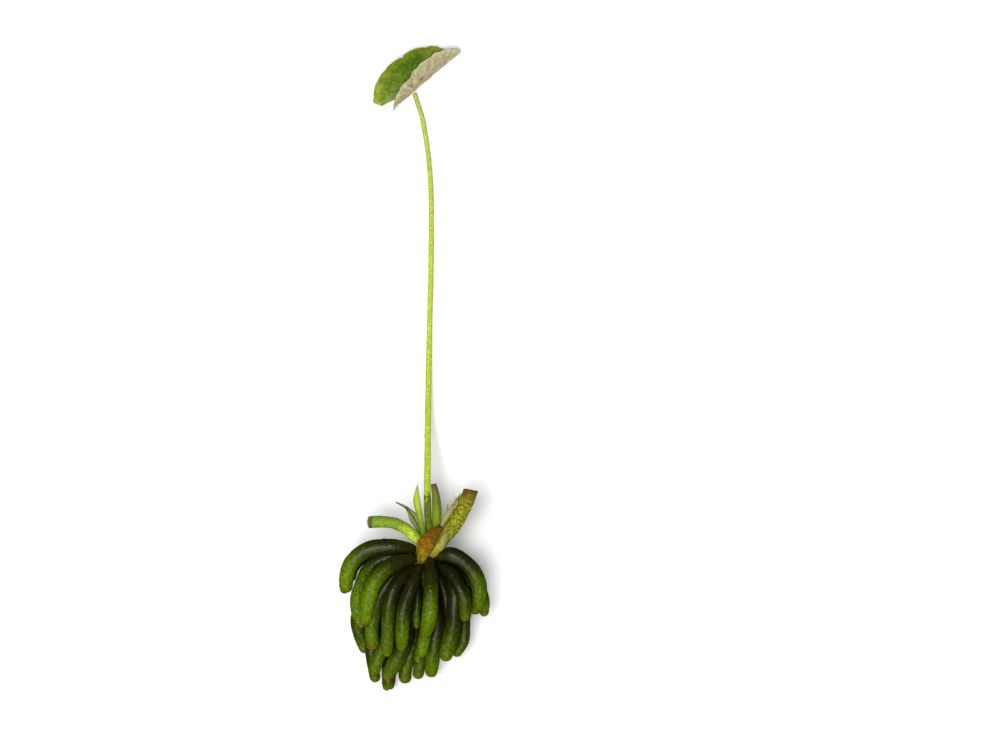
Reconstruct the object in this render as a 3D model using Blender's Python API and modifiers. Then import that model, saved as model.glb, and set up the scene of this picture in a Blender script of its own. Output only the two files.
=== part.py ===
"""An aquarium banana plant, lying on a surface at z = 0 with its leaf towards +Y.

A short crown carries a hand of banana-shaped tubers, a long leaf stalk with one folded leaf, three cut
stalks, a bud, a dried leaf and the remains of two old sheaths. Places in the tables are in millimetres.
"""

import math

import bmesh
import bpy
import numpy as np
from mathutils import Matrix

MM = 0.001

# The tables' place of the part's origin: the middle of the plant's outline, on the surface
MIDDLE = (-0.28, 0.06)

# Clearance kept between neighbouring pieces
GAP = 0.3

# Tubers: girth at the middle, and the places that each one's centreline passes, from the crown to the tip
TUBERS = (
    (4.4, (-0.7, -49.3, 16.5), (-4.2, -48.6, 18), (-12, -48.9, 18), (-17.4, -53.4, 16.5), (-18.4, -60.8, 14)),
    (3.8, (-0.4, -50.9, 14.5), (-5.8, -51, 13.5), (-12.2, -53.9, 14), (-15.7, -62.6, 16), (-14, -70, 15)),
    (4.2, (-0.4, -51.4, 18), (-6.6, -53.3, 21.5), (-11.2, -58.7, 22), (-12.8, -65.4, 20), (-12.9, -68.8, 18)),
    (4.0, (-0.4, -52.2, 15), (-6.3, -57.4, 17), (-10.5, -64.1, 17), (-11.5, -72.2, 15), (-10.2, -75.6, 13.5)),
    (3.75, (-0.4, -53.9, 18), (-5, -58.2, 21.5), (-7, -64.1, 22), (-7.5, -73.2, 19), (-7.7, -77.4, 16.5)),
    (3.8, (1.2, -54.1, 20.5), (-1.2, -59, 23), (-3.3, -66, 24), (-3.6, -73.2, 21), (-3.9, -75.5, 19)),
    (2.3, (1.5, -55.8, 15.5), (0.8, -59.5, 16.8), (0.0, -66.8, 17), (0.1, -70.1, 16.5)),
    (4.3, (3.9, -52.0, 20.5), (4.3, -57.4, 24), (4.1, -63.6, 25.4), (3.4, -69.2, 23.4), (2.4, -72.0, 21.5)),
    (3.4, (3.1, -55.5, 16), (3.4, -61.1, 18.7), (3.2, -67.6, 19), (2.1, -74.7, 16.3), (1.6, -77.8, 14.5)),
    (4.2, (3.9, -55.8, 12), (5.4, -63.3, 13), (5.9, -69.6, 13.4), (4.8, -75.7, 12), (3.8, -83.4, 8)),
    (3.0, (5.8, -53.6, 14), (7.4, -60.6, 14.8), (7.6, -64.4, 14.2), (7.6, -68.7, 13)),
    (4.5, (6.6, -53.3, 14.5), (9.6, -60.1, 18.2), (10.1, -67.6, 17.8), (8.8, -74.2, 15), (7.4, -78.9, 13)),
    (3.6, (5.8, -52.8, 17), (9.9, -56.0, 20), (12.6, -61.4, 21.8), (13.0, -64.7, 21), (12.9, -68.0, 19.5)),
    (4.4, (5.0, -51.2, 19), (10.1, -50.9, 20), (15.2, -54.5, 19.2), (17.3, -60.6, 17.8), (15.7, -66.3, 16)),
    (3.2, (6.1, -52.0, 14), (12.8, -53.3, 13.5), (17.0, -58.7, 13.5), (18.7, -64.0, 12.7), (18.2, -67.0, 12)),
    (3.3, (5.5, -54.4, 10.5), (11.5, -60.9, 9.5), (13.0, -68.7, 10.5), (12.7, -74.6, 9.8), (10.5, -77.8, 9)),
    (3.7, (-0.4, -53.3, 10.5), (-9.6, -57.9, 8.5), (-15.3, -66, 9), (-14.9, -71.6, 8), (-13.4, -76.9, 6.2)),
    (3.7, (-0.1, -55.2, 8), (-7.4, -63.0, 6), (-11.9, -72.0, 7.4), (-12.0, -77.8, 9.0), (-10.8, -85.0, 6.4)),
    (3.8, (0.1, -56.3, 12.5), (-5, -64.1, 13.3), (-7.8, -73, 13.3), (-10.2, -78.8, 12.6), (-11.4, -82.8, 11)),
    (4.8, (0.7, -56.6, 12.8), (-1.2, -64.7, 13.2), (-2, -72.5, 13.4), (-4.2, -77.4, 12.8), (-8.1, -83.9, 11)),
    (4.4, (0.4, -57.9, 9), (-3.4, -66.8, 9), (-5.6, -75.7, 8), (-7.2, -82.6, 6.3), (-7.6, -87.1, 5.8)),
    (3.4, (1.5, -57.4, 10.5), (0.9, -65.5, 10.8), (-0.3, -73.6, 10.5), (-2.1, -79.3, 10), (-2.9, -82.4, 9.7)),
    (4.2, (1.5, -58.5, 6.5), (0.3, -66.8, 6.2), (-1.5, -74.9, 5.8), (-2.8, -81.2, 5.3), (-3.0, -85.4, 5)),
    (3.7, (2.8, -58.2, 8.5), (3.1, -66.3, 8.2), (2.3, -74.1, 8.3), (1.1, -80.2, 7.6), (0.5, -84.2, 7)),
    (2.6, (2.2, -56.6, 12.5), (1.8, -64.7, 13.8), (0.9, -72.5, 13), (0.4, -79.5, 11.5)),
    (3.4, (6.9, -54.9, 11), (8.5, -59.0, 11), (9.2, -65.0, 10.4), (8.8, -70.1, 9.3)),
    (3.7, (-1.2, -53.6, 9), (-6.1, -55.8, 6), (-13.2, -62.3, 3), (-14.7, -66.6, 2.6), (-14.6, -70.6, 2.6)),
    (3.7, (-0.1, -55.5, 8), (-3.4, -58.7, 4.5), (-9.0, -66.6, 2), (-10.7, -74.0, 2.2), (-10.1, -78.4, 2.6)),
    (3.8, (0.4, -56.8, 8), (-1.5, -60.9, 3.5), (-5.0, -69.3, 2), (-6.8, -76.6, 2.1), (-7.4, -81.1, 2.6)),
    (3.7, (1.2, -57.6, 7.5), (0.7, -61.7, 3), (-1.2, -70.3, 2), (-2.5, -76.9, 2.1), (-3.2, -81.1, 2.6)),
    (3.7, (2.3, -57.6, 7.5), (3.0, -61.7, 3.2), (3.0, -69.8, 2), (1.8, -76.1, 2.1), (0.9, -80.3, 2.6)),
    (3.5, (3.4, -57.1, 7.5), (5.3, -60.6, 3.6), (6.9, -66.6, 2.1), (6.8, -70.6, 2.4)),
    (3.7, (4.5, -56.0, 8), (7.4, -59.0, 4.5), (10.2, -65.0, 2.1), (10.6, -71.8, 2.2), (9.5, -76.0, 2.7)),
    (3.5, (5.0, -54.7, 9), (8.5, -56.8, 6), (12.2, -62.3, 3.3), (12.6, -66.8, 3), (11.9, -70.6, 3.2)),
    (3.4, (6.1, -52.8, 11), (9.9, -53.9, 8.5), (14.8, -58.2, 6.5), (16.4, -62.2, 6), (16.3, -65.1, 6)),
    (3.4, (-1.2, -50.4, 12.5), (-5.3, -49.5, 11), (-12.4, -50.2, 9.5), (-16.7, -53.9, 9), (-17.7, -57.8, 8)),
    (3.2, (-0.6, -54.5, 11.5), (-6.6, -60.3, 11), (-10.9, -67, 11), (-11.7, -72, 11), (-11.1, -76.6, 10.4)),
    (3.2, (4.6, -56.2, 9), (6.9, -61.2, 7.4), (8.4, -66.0, 6.6), (8.3, -71.3, 6.6)),
    (3.0, (0.2, -56.8, 8.5), (-4.4, -62.4, 5.6), (-8.2, -70.2, 5.2), (-9.2, -77.2, 5.2), (-9.0, -81.0, 5.2)),
)
TUBER_BASE_SHARE = 0.64
TUBER_SHOULDER = 0.2
TUBER_TIP_SHARE = 0.84
TUBER_TAPER_START = 0.72
TUBER_STATIONS = (0.0, 0.1, 0.2, 0.32, 0.46, 0.6, 0.74, 0.88)
TUBER_TIP_ANGLES = (0, 38, 66)
TUBER_TIP_REACH = 0.95

# Every strand: the distance between its rings, and the narrower ring at its foot, in radii of the next one
RING_SPACING = 3.4
CROWN_RING_SPACING = 1.9
FEWEST_RINGS = 5
FOOT_REACH = 0.75
FOOT_SHARE = 0.62

# Other strands: the thickness at each place that the centreline passes, then the places
CROWN = (
    (2.4, 3.6, 4.4, 6.0, 6.8, 4.8),
    (
        (3.5, -46.6, 16.8),
        (2.8, -48.4, 16.9),
        (2.4, -50.2, 16.4),
        (2.2, -52.6, 14.8),
        (2.2, -55.2, 12.8),
        (2.3, -58.2, 10.4),
    ),
)
LEAF_STALK = (
    (1.9, 1.75, 1.6, 1.45, 1.35, 1.35, 1.25, 1.2, 1.2),
    (
        (3.3, -45.0, 17.7),
        (3.1, -35.8, 15.4),
        (3.2, -24.2, 10.2),
        (3.3, -8.8, 3.6),
        (3.6, 8.0, 0.9),
        (4.1, 31.2, 0.75),
        (3.9, 50.9, 0.75),
        (2.0, 66.1, 0.75),
        (-0.4, 74.2, 0.85),
    ),
)
LEFT_CUT_STALK = (
    (2.7, 3.0, 3.0, 3.1),
    ((1.4, -47.2, 17.6), (-1.7, -44.1, 17.8), (-6.3, -41.8, 17.8), (-12.3, -41.7, 17.6)),
)
MIDDLE_CUT_STALK = (
    (2.4, 2.4, 2.2, 1.4),
    ((5.6, -44.8, 16), (5.9, -40.4, 16.2), (5.6, -35.4, 16.4), (4.9, -31.5, 16.5)),
)
RIGHT_CUT_STALK = (
    (2.6, 3.8, 4.1, 3.9, 3.8),
    ((4.0, -49.8, 17.6), (6.9, -46.2, 17.6), (10.2, -42.2, 18.2), (12.8, -37.9, 19.0), (14.9, -33.2, 20)),
)
LEAF_BUD = (
    (1.5, 1.5, 1.6, 1.5, 0.5),
    ((2.4, -46.2, 19.0), (1.3, -40.6, 18.6), (0.6, -37.4, 18.4), (0.3, -35.0, 18.3), (0.5, -32.3, 18.3)),
)
DRIED_LEAF = (
    (1.2, 1.4, 1.3, 0.6, 0.35),
    ((1.5, -45.9, 16.0), (0.7, -42.5, 16.6), (-0.7, -40.1, 17), (-1.8, -38.2, 17.2), (-5.3, -36.3, 17.4)),
)
OLD_SHEATH = (
    (3.0, 3.8, 3.0, 1.7),
    ((2.4, -49.9, 20.9), (2.9, -47.9, 21.4), (4.6, -45.4, 21.4), (6.7, -43.2, 20.8)),
)
TORN_SHEATH = (
    (0.8, 1.1, 1.1, 0.6),
    ((7.2, -43.3, 18.6), (8.2, -40.9, 19), (9.6, -38.5, 19.4), (11.3, -35.5, 20)),
)

# Leaf: the blade is measured from the stalk's joint, along the midrib and across it
LEAF_JOINT = (-0.7, 75.2)
LEAF_HEADING = math.radians(39)
LOW_HALF_REACH = (
    (0, 16.4), (14, 14.0), (23, 13.5), (34, 12.8), (48, 12.1), (61, 11.8), (72, 10.9), (85, 11.2),
    (97, 11.1), (110, 10.9), (126, 10.8), (143, 10.9), (158, 11.3), (167, 9.6),
)
FLAP_REACH = (
    (0, 16.4), (12, 16.5), (22, 15.5), (34, 14.4), (50, 12.9), (65, 12.0), (80, 11.4), (100, 11.1),
    (120, 10.4), (140, 9.4), (155, 8.5), (167, 7.4),
)
LEAF_SINUS = math.radians(167)
LEAF_THICKNESS = 0.5
LEAF_RIB_HEIGHT = 0.4
LEAF_RADIAL_STEPS = 6
LEAF_FIRST_SHARE = 0.06
LEAF_TURN_STEPS = 22

# The fold: each half leaves the midrib at an angle and curls further over the curl's reach.
# The flap stands steeper towards the stalk, and curls over more there.
CURL_REACH = 11.5
LOW_HALF_CURL = 62
FLAP_START = 97
FLAP_START_DROP = 1.6
FLAP_CURL = -45
FLAP_CURL_BACK = 2.5

# How the neighbours are pushed apart
ROUNDS = 260
PATH_PLACES = 60
SAMPLE_STEP = 1.25
CROWN_CLEARANCE = 0.5
NEARBY = 1.5
PUSH = 0.6
SIDEWAYS = np.array((0.55, 0.55, 1.0))
PULL_HOME = 0.015
FLOOR_SHARE = 0.9
SIDES = 8


def smooth_path(points, count):
    """Evenly spaced places along a smooth curve through the points given."""
    given = np.array(points, float)
    padded = np.vstack([2 * given[0] - given[1], given, 2 * given[-1] - given[-2]])
    fine = []
    for before, start, end, after in zip(padded, padded[1:], padded[2:], padded[3:]):
        t = np.linspace(0, 1, 24, endpoint=False)[:, None]
        fine.append(
            0.5
            * (
                2 * start
                + (end - before) * t
                + (2 * before - 5 * start + 4 * end - after) * t**2
                + (3 * start - before - 3 * end + after) * t**3
            )
        )
    fine = np.vstack([*fine, given[-1:]])
    return places_along(fine, np.linspace(0, 1, count))


def places_along(path, shares):
    """Places at the given shares of a path's length."""
    steps = np.linalg.norm(np.diff(path, axis=0), axis=1)
    run = np.concatenate([[0], np.cumsum(steps)])
    return np.column_stack([np.interp(np.array(shares) * run[-1], run, path[:, k]) for k in range(3)])


def length_of(path):
    return float(np.linalg.norm(np.diff(path, axis=0), axis=1).sum())


def ease(t):
    t = np.clip(t, 0, 1)
    return t * t * (3 - 2 * t)


def tuber_radius(girth, share):
    """A tuber is slimmer where it leaves the crown, full along its middle, and tapers a little to its tip."""
    base = TUBER_BASE_SHARE + (1 - TUBER_BASE_SHARE) * ease(share / TUBER_SHOULDER)
    taper = 1 - (1 - TUBER_TIP_SHARE) * ease((share - TUBER_TAPER_START) / (1 - TUBER_TAPER_START))
    return girth / 2 * base * taper


def strand_samples(thicknesses, points):
    """Places and radii along a strand, close enough together to stand for its volume."""
    path = smooth_path(points, PATH_PLACES)
    count = max(4, round(length_of(path) / SAMPLE_STEP))
    shares = np.linspace(0, 1, count)
    given = np.linspace(0, 1, len(thicknesses))
    return places_along(path, shares), np.interp(shares, given, np.array(thicknesses) / 2)


def tuber_samples(girth, points):
    path = smooth_path(points, PATH_PLACES)
    length = length_of(path)
    end = 1 - TUBER_TIP_REACH * TUBER_TIP_SHARE * girth / 2 / length
    shares = np.linspace(0, end, max(8, round(length / SAMPLE_STEP)))
    return places_along(path, shares), tuber_radius(girth, shares)


def outside_crown(places, radii, crown_places, crown_radii):
    """Drops the first samples of a strand that would lie inside the crown."""
    gaps = np.linalg.norm(places[:, None] - crown_places[None], axis=2) - crown_radii
    clear = gaps.min(axis=1) > CROWN_CLEARANCE * radii
    first = int(np.argmax(clear))
    return places[first:], radii[first:]


def settle(strands, held):
    """Pushes neighbouring strands apart until only a small gap is left, and keeps them above the surface."""
    owners = np.concatenate([np.full(len(places), k) for k, (places, _) in enumerate(strands)])
    home = np.vstack([places for places, _ in strands])
    radii = np.concatenate([r for _, r in strands])
    fixed = np.isin(owners, held)
    inner = np.zeros(len(home), bool)
    inner[1:-1] = (owners[1:-1] == owners[:-2]) & (owners[1:-1] == owners[2:])
    places = home.copy()
    for turn in range(ROUNDS):
        if turn % 10 == 0:
            first, second = close_pairs(places, radii, owners, fixed)
        away = places[first] - places[second]
        distance = np.maximum(np.linalg.norm(away, axis=1), 1e-6)
        depth = np.maximum(radii[first] + radii[second] + GAP - distance, 0)
        push = away / distance[:, None] * depth[:, None] * SIDEWAYS
        share = np.where(fixed[second], 1.0, np.where(fixed[first], 0.0, 0.5))[:, None]
        shift = np.zeros_like(places)
        np.add.at(shift, first, PUSH * share * push)
        np.add.at(shift, second, -PUSH * (1 - share) * push)
        moved = places + shift - home
        moved *= 1 - PULL_HOME
        for _ in range(2):
            spread = moved.copy()
            middle = 0.25 * moved[:-2] + 0.5 * moved[1:-1] + 0.25 * moved[2:]
            spread[1:-1][inner[1:-1]] = middle[inner[1:-1]]
            moved = spread
        places = home + moved
        places[:, 2] = np.maximum(places[:, 2], FLOOR_SHARE * radii)
        places[fixed] = home[fixed]
    return [places[owners == k] for k in range(len(strands))]


def close_pairs(places, radii, owners, fixed):
    """Samples of different strands that are near enough to meet."""
    distance = np.linalg.norm(places[:, None] - places[None], axis=2)
    near = distance < radii[:, None] + radii[None] + GAP + NEARBY
    near &= owners[:, None] != owners[None]
    near &= ~(fixed[:, None] & fixed[None])
    return np.nonzero(np.triu(near))


def clear_scene():
    for obj in list(bpy.data.objects):
        bpy.data.objects.remove(obj, do_unlink=True)


def material(name, colour, roughness):
    """One Principled finish, with its colour as linear red, green and blue."""
    made = bpy.data.materials.new(name)
    made.use_nodes = True
    shader = made.node_tree.nodes["Principled BSDF"]
    shader.inputs["Base Color"].default_value = (*colour, 1)
    shader.inputs["Roughness"].default_value = roughness
    shader.inputs["Metallic"].default_value = 0
    made.diffuse_color = (*colour, 1)
    return made


def with_fewer_rings(places, radii, spacing):
    """The same strand with rings about the spacing apart."""
    count = max(FEWEST_RINGS, round(length_of(places) / spacing) + 1)
    shares = np.linspace(0, 1, count)
    return places_along(places, shares), np.interp(shares, np.linspace(0, 1, len(radii)), radii)


def tube(name, collection, finish, places, radii):
    """A closed tube of eight sides through the places, in millimetres, with one side facing straight down."""
    curve = bpy.data.curves.new(name, "CURVE")
    curve.dimensions = "3D"
    curve.bevel_depth = MM
    curve.bevel_resolution = SIDES // 2 - 2
    curve.use_fill_caps = True
    curve.twist_mode = "Z_UP"
    spline = curve.splines.new("POLY")
    spline.points.add(len(places) - 1)
    for point, place, radius in zip(spline.points, places, radii):
        point.co = (*(place * MM), 1)
        point.radius = radius
        point.tilt = math.pi / SIDES
    guide = bpy.data.objects.new(name + "_guide", curve)
    collection.objects.link(guide)
    graph = bpy.context.evaluated_depsgraph_get()
    mesh = bpy.data.meshes.new_from_object(guide.evaluated_get(graph))
    bpy.data.objects.remove(guide, do_unlink=True)
    form = bmesh.new()
    form.from_mesh(mesh)
    bmesh.ops.remove_doubles(form, verts=form.verts, dist=1e-6)
    for vertex in form.verts:
        vertex.co.z = max(vertex.co.z, 0.0)
    form.to_mesh(mesh)
    form.free()
    return finished(name, collection, finish, mesh)


def with_foot(places, radii):
    """Adds a narrower ring that brings a strand's foot closer to the crown."""
    heading = places[1] - places[0]
    heading /= np.linalg.norm(heading)
    foot = places[0] - heading * FOOT_REACH * radii[0]
    return np.vstack([foot, places]), np.concatenate([[FOOT_SHARE * radii[0]], radii])


def finished(name, collection, finish, mesh):
    mesh.materials.clear()
    mesh.materials.append(finish)
    mesh.shade_smooth()
    mesh.set_sharp_from_angle(angle=math.radians(50))
    obj = bpy.data.objects.new(name, mesh)
    collection.objects.link(obj)
    return obj


def tuber(name, collection, finish, girth, settled):
    """A banana-shaped root with a rounded tip, through its settled centreline."""
    tip_radius = TUBER_TIP_SHARE * girth / 2
    length = length_of(settled)
    shares = np.array(TUBER_STATIONS)
    places = list(places_along(settled, shares))
    radii = list(tuber_radius(girth, shares * length / (length + TUBER_TIP_REACH * tip_radius)))
    heading = settled[-1] - settled[-2]
    heading /= np.linalg.norm(heading)
    for angle in TUBER_TIP_ANGLES:
        turn = math.radians(angle)
        places.append(settled[-1] + heading * TUBER_TIP_REACH * tip_radius * math.sin(turn))
        radii.append(tip_radius * math.cos(turn))
    return tube(name, collection, finish, *with_foot(np.array(places), np.array(radii)))


def leaf(collection, finish):
    """A round blade with a heart-shaped base, folded along its midrib and resting on one half."""
    form = bmesh.new()
    shares = np.linspace(LEAF_FIRST_SHARE, 1, LEAF_RADIAL_STEPS + 1)
    spoke = [form.verts.new((share, 0, 0)) for share in shares]
    edges = [form.edges.new(pair) for pair in zip(spoke, spoke[1:])]
    bmesh.ops.rotate(form, verts=spoke, cent=(0, 0, 0), matrix=Matrix.Rotation(-LEAF_SINUS, 3, "Z"))
    bmesh.ops.spin(
        form,
        geom=spoke + edges,
        cent=(0, 0, 0),
        axis=(0, 0, 1),
        angle=2 * LEAF_SINUS,
        steps=LEAF_TURN_STEPS,
        use_merge=False,
    )
    bmesh.ops.remove_doubles(form, verts=form.verts, dist=1e-6)
    for vertex in form.verts:
        bearing = math.atan2(vertex.co.y, vertex.co.x)
        reach = vertex.co.xy.length * leaf_reach(bearing)
        vertex.co = folded(reach * math.cos(bearing), reach * math.sin(bearing))
    bmesh.ops.recalc_face_normals(form, faces=form.faces)
    mesh = bpy.data.meshes.new("leaf")
    form.to_mesh(mesh)
    form.free()
    obj = finished("leaf", collection, finish, mesh)
    wall = obj.modifiers.new("Blade thickness", "SOLIDIFY")
    wall.thickness = LEAF_THICKNESS * MM
    wall.offset = 0
    return obj


def leaf_reach(bearing):
    """The blade's margin, as its distance from the stalk's joint."""
    bearings, reaches = zip(*(LOW_HALF_REACH if bearing > 0 else FLAP_REACH))
    return float(np.interp(abs(math.degrees(bearing)), bearings, reaches))


def folded(along, across):
    """The place in the scene of a point of the flat blade."""
    if across >= 0:
        start = 0.0
        curl = LOW_HALF_CURL
    else:
        start = FLAP_START - FLAP_START_DROP * along
        curl = FLAP_CURL - FLAP_CURL_BACK * max(0.0, -along)
    start = math.radians(start)
    bend = math.radians(curl) / CURL_REACH
    end = start + bend * abs(across)
    sideways = (math.sin(end) - math.sin(start)) / bend
    height = (math.cos(start) - math.cos(end)) / bend
    x = LEAF_JOINT[0] + along * math.cos(LEAF_HEADING) - sideways * math.sin(LEAF_HEADING)
    y = LEAF_JOINT[1] + along * math.sin(LEAF_HEADING) + sideways * math.cos(LEAF_HEADING)
    return x * MM, y * MM, (LEAF_RIB_HEIGHT + height) * MM


def main():
    clear_scene()
    plant = bpy.data.collections.new("banana_plant")
    bpy.context.scene.collection.children.link(plant)
    tuber_green = material("tuber_green", (0.085, 0.135, 0.010), 0.35)
    crown_brown = material("crown_brown", (0.20, 0.12, 0.005), 0.7)
    stalk_green = material("stalk_green", (0.42, 0.56, 0.05), 0.45)
    stub_green = material("stub_green", (0.19, 0.27, 0.02), 0.5)
    leaf_green = material("leaf_green", (0.12, 0.19, 0.02), 0.5)
    dry_brown = material("dry_brown", (0.16, 0.10, 0.02), 0.8)
    pale_skin = material("pale_skin", (0.45, 0.42, 0.22), 0.7)

    stalks = (
        ("leaf_stalk", LEAF_STALK, stalk_green),
        ("left_cut_stalk", LEFT_CUT_STALK, stub_green),
        ("middle_cut_stalk", MIDDLE_CUT_STALK, stub_green),
        ("right_cut_stalk", RIGHT_CUT_STALK, stub_green),
        ("leaf_bud", LEAF_BUD, stalk_green),
        ("dried_leaf", DRIED_LEAF, dry_brown),
        ("old_sheath", OLD_SHEATH, dry_brown),
        ("torn_sheath", TORN_SHEATH, pale_skin),
    )
    crown_places, crown_radii = strand_samples(*CROWN)
    strands = [(crown_places, crown_radii)]
    for _, (thicknesses, points), _ in stalks:
        strands.append(outside_crown(*strand_samples(thicknesses, points), crown_places, crown_radii))
    for girth, *points in TUBERS:
        strands.append(outside_crown(*tuber_samples(girth, points), crown_places, crown_radii))
    settled = settle(strands, held=[0])

    tube("crown", plant, crown_brown, *with_fewer_rings(crown_places, crown_radii, CROWN_RING_SPACING))
    for (name, _, finish), places, (_, radii) in zip(stalks, settled[1:], strands[1:]):
        tube(name, plant, finish, *with_foot(*with_fewer_rings(places, radii, RING_SPACING)))
    for number, ((girth, *_), places) in enumerate(zip(TUBERS, settled[1 + len(stalks) :]), 1):
        tuber(f"tuber_{number:02d}", plant, tuber_green, girth, places)
    leaf(plant, leaf_green)

    pieces = list(plant.objects)
    origin = bpy.data.objects.new("plant_origin", None)
    origin.location = (-MIDDLE[0] * MM, -MIDDLE[1] * MM, 0)
    plant.objects.link(origin)
    for piece in pieces:
        piece.parent = origin


main()
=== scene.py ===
"""An aquarium banana plant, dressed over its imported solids.

Each strand's rings are read from its solid in the frame, and a finer skin is carried along the same
centreline. Lengths are in metres, except where they are written times MM.
"""

import math
from types import SimpleNamespace

import bmesh
import bpy
import numpy as np
from bpy.props import FloatProperty, FloatVectorProperty, IntProperty, PointerProperty
from mathutils import Matrix, Vector, noise


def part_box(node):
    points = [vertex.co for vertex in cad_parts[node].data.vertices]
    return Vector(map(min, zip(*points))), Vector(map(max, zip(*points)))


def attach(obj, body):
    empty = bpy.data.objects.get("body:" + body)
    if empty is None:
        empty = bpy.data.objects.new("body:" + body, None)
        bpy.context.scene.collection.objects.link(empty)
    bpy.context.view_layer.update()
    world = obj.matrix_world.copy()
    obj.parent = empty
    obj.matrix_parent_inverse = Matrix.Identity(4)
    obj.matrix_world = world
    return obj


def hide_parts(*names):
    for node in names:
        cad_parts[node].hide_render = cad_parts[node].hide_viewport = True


bl_info = {
    "name": "Aquarium banana plant",
    "version": (1, 0, 0),
    "blender": (4, 5, 0),
    "location": "View3D > Sidebar > Banana plant",
    "description": "Dresses a water plant's solids with tubers, a folded leaf, cut stalks and a torn crown",
    "category": "Object",
}

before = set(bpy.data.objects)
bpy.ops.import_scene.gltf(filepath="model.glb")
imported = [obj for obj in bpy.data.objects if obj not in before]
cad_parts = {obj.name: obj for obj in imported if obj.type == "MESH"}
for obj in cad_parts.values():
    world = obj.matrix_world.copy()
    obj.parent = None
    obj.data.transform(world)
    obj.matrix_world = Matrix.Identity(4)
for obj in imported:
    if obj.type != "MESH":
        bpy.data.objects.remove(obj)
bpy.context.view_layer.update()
BODY = "root"
MM = 0.001

# Reading a strand's solid: the corners of a ring, how near two corners are merged, how flat two faces meet
# to be one, and how evenly far from the middle the corners of an end cap lie
RING_CORNERS = 8
MERGE_DISTANCE = 1e-6
CAP_ANGLE = math.radians(0.2)
CAP_ROUNDNESS = 0.03

# A centreline: its steps from ring to ring, the step that gives its heading, and how far it runs on straight
STEPS_BETWEEN_RINGS = 16
HEADING_STEP = 0.05 * MM
BEYOND_THE_END = 20 * MM


def colour(name, what, default):
    what = f"Colour of {what}"
    return FloatVectorProperty(name=name, description=what, subtype="COLOR", min=0, max=1, default=default)


def length(name, what, default):
    return FloatProperty(name=name, description=what, default=default, min=0, unit="LENGTH", precision=5)


class TuberSettings(bpy.types.PropertyGroup):
    """Sizes and colours of the banana-shaped tubers."""

    around: IntProperty(name="Faces around", description="Faces around a tuber", default=68, min=8)
    along: IntProperty(name="Faces along", description="Faces along a tuber", default=196, min=40)
    fullness: FloatProperty(name="Fullness", description="Radius over its solid's corners'", default=0.965)
    lumps: length("Lumps", "Height of the broad unevenness", 0.13 * MM)
    dents: length("Dents", "Height of the small unevenness", 0.045 * MM)
    papillae: length("Papillae", "Height of the fine bumps", 0.11 * MM)
    crown_end: colour("Crown end", "a tuber where it leaves the crown", (0.0105, 0.0100, 0.0010))
    shoulder: colour("Shoulder", "the shoulder", (0.0130, 0.0185, 0.0006))
    middle: colour("Middle", "the middle", (0.0260, 0.0420, 0.0001))
    ripe: colour("Ripe", "the full green stretch", (0.0460, 0.0800, 0.0001))
    tip: colour("Tip", "the tip", (0.0900, 0.0950, 0.0010))
    scar: colour("Scar", "the tip's scar", (0.2200, 0.1350, 0.0080))
    rust: colour("Rust", "the scar's darker parts", (0.1000, 0.0380, 0.0040))
    fleck: colour("Fleck", "the fine pale flecks", (0.1150, 0.1550, 0.0060))
    wart: colour("Wart", "the small wart on the uppermost tuber", (0.0450, 0.0080, 0.0060))


class CrownSettings(bpy.types.PropertyGroup):
    """Numbers of threads and colours of the crown and the old sheaths."""

    fibres: IntProperty(name="Fibres", description="Dead fibres on the crown", default=46, min=1)
    fringe: IntProperty(name="Fringe", description="Loose threads on the torn sheath", default=16, min=1)
    ochre: colour("Ochre", "the crown's yellow parts", (0.168, 0.137, 0.002))
    rust: colour("Rust", "the dead skins", (0.185, 0.068, 0.001))
    amber: colour("Amber", "the dead skins' pale patches", (0.225, 0.178, 0.004))
    cream: colour("Cream", "the fresh pale skin", (0.325, 0.330, 0.055))
    straw: colour("Straw", "the torn skin", (0.240, 0.215, 0.040))
    # umber is the dead tip's own colour, and is also painted shade on the old sheath's end by the crown
    umber: colour("Umber", "the old sheath's dead end", (0.085, 0.030, 0.002))
    # dark colours the crown's dark patches and the dead stick, and is also the painted shade at the crown's
    # foot
    dark: colour("Dark", "the crown's shaded foot", (0.040, 0.013, 0.002))


class StalkSettings(bpy.types.PropertyGroup):
    """Colours of the stalks, the young leaf and the dried leaf."""

    bright: colour("Bright", "the leaf stalk", (0.470, 0.590, 0.040))
    foot: colour("Foot", "the leaf stalk's foot", (0.094, 0.136, 0.002))
    green: colour("Green", "the green cut stalks", (0.184, 0.290, 0.018))
    fresh: colour("Fresh", "the cut stalks near the crown", (0.400, 0.560, 0.035))
    olive: colour("Olive", "the thick cut stalk", (0.262, 0.280, 0.008))
    speck: colour("Speck", "the brown specks", (0.078, 0.038, 0.001))
    cut: colour("Cut", "a cut end", (0.190, 0.155, 0.030))
    rim: colour("Rim", "the rim of a cut end", (0.075, 0.035, 0.008))
    dried: colour("Dried", "the dried leaf", (0.170, 0.195, 0.050))


class LeafSettings(bpy.types.PropertyGroup):
    """Sizes and colours of the folded leaf."""

    thickness: length("Thickness", "Thickness of the blade", 0.18 * MM)
    upper: colour("Upper face", "the green upper face", (0.080, 0.162, 0.004))
    yellow: colour("Yellow", "the upper face's yellow parts", (0.270, 0.300, 0.014))
    under: colour("Underside", "the beige underside", (0.470, 0.390, 0.260))
    margin: colour("Margin", "the margin", (0.150, 0.160, 0.006))


class StageSettings(bpy.types.PropertyGroup):
    """The floor, the light and the surroundings."""

    floor: colour("Floor", "the floor", (0.86, 0.86, 0.85))
    surroundings: FloatProperty(name="Surroundings", description="Strength of light all round", default=0.485)
    overhead: FloatProperty(name="Overhead", description="Watts of the light overhead", default=95.0)
    near: FloatProperty(name="Near", description="Watts of the light on the tubers' side", default=7.0)


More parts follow.
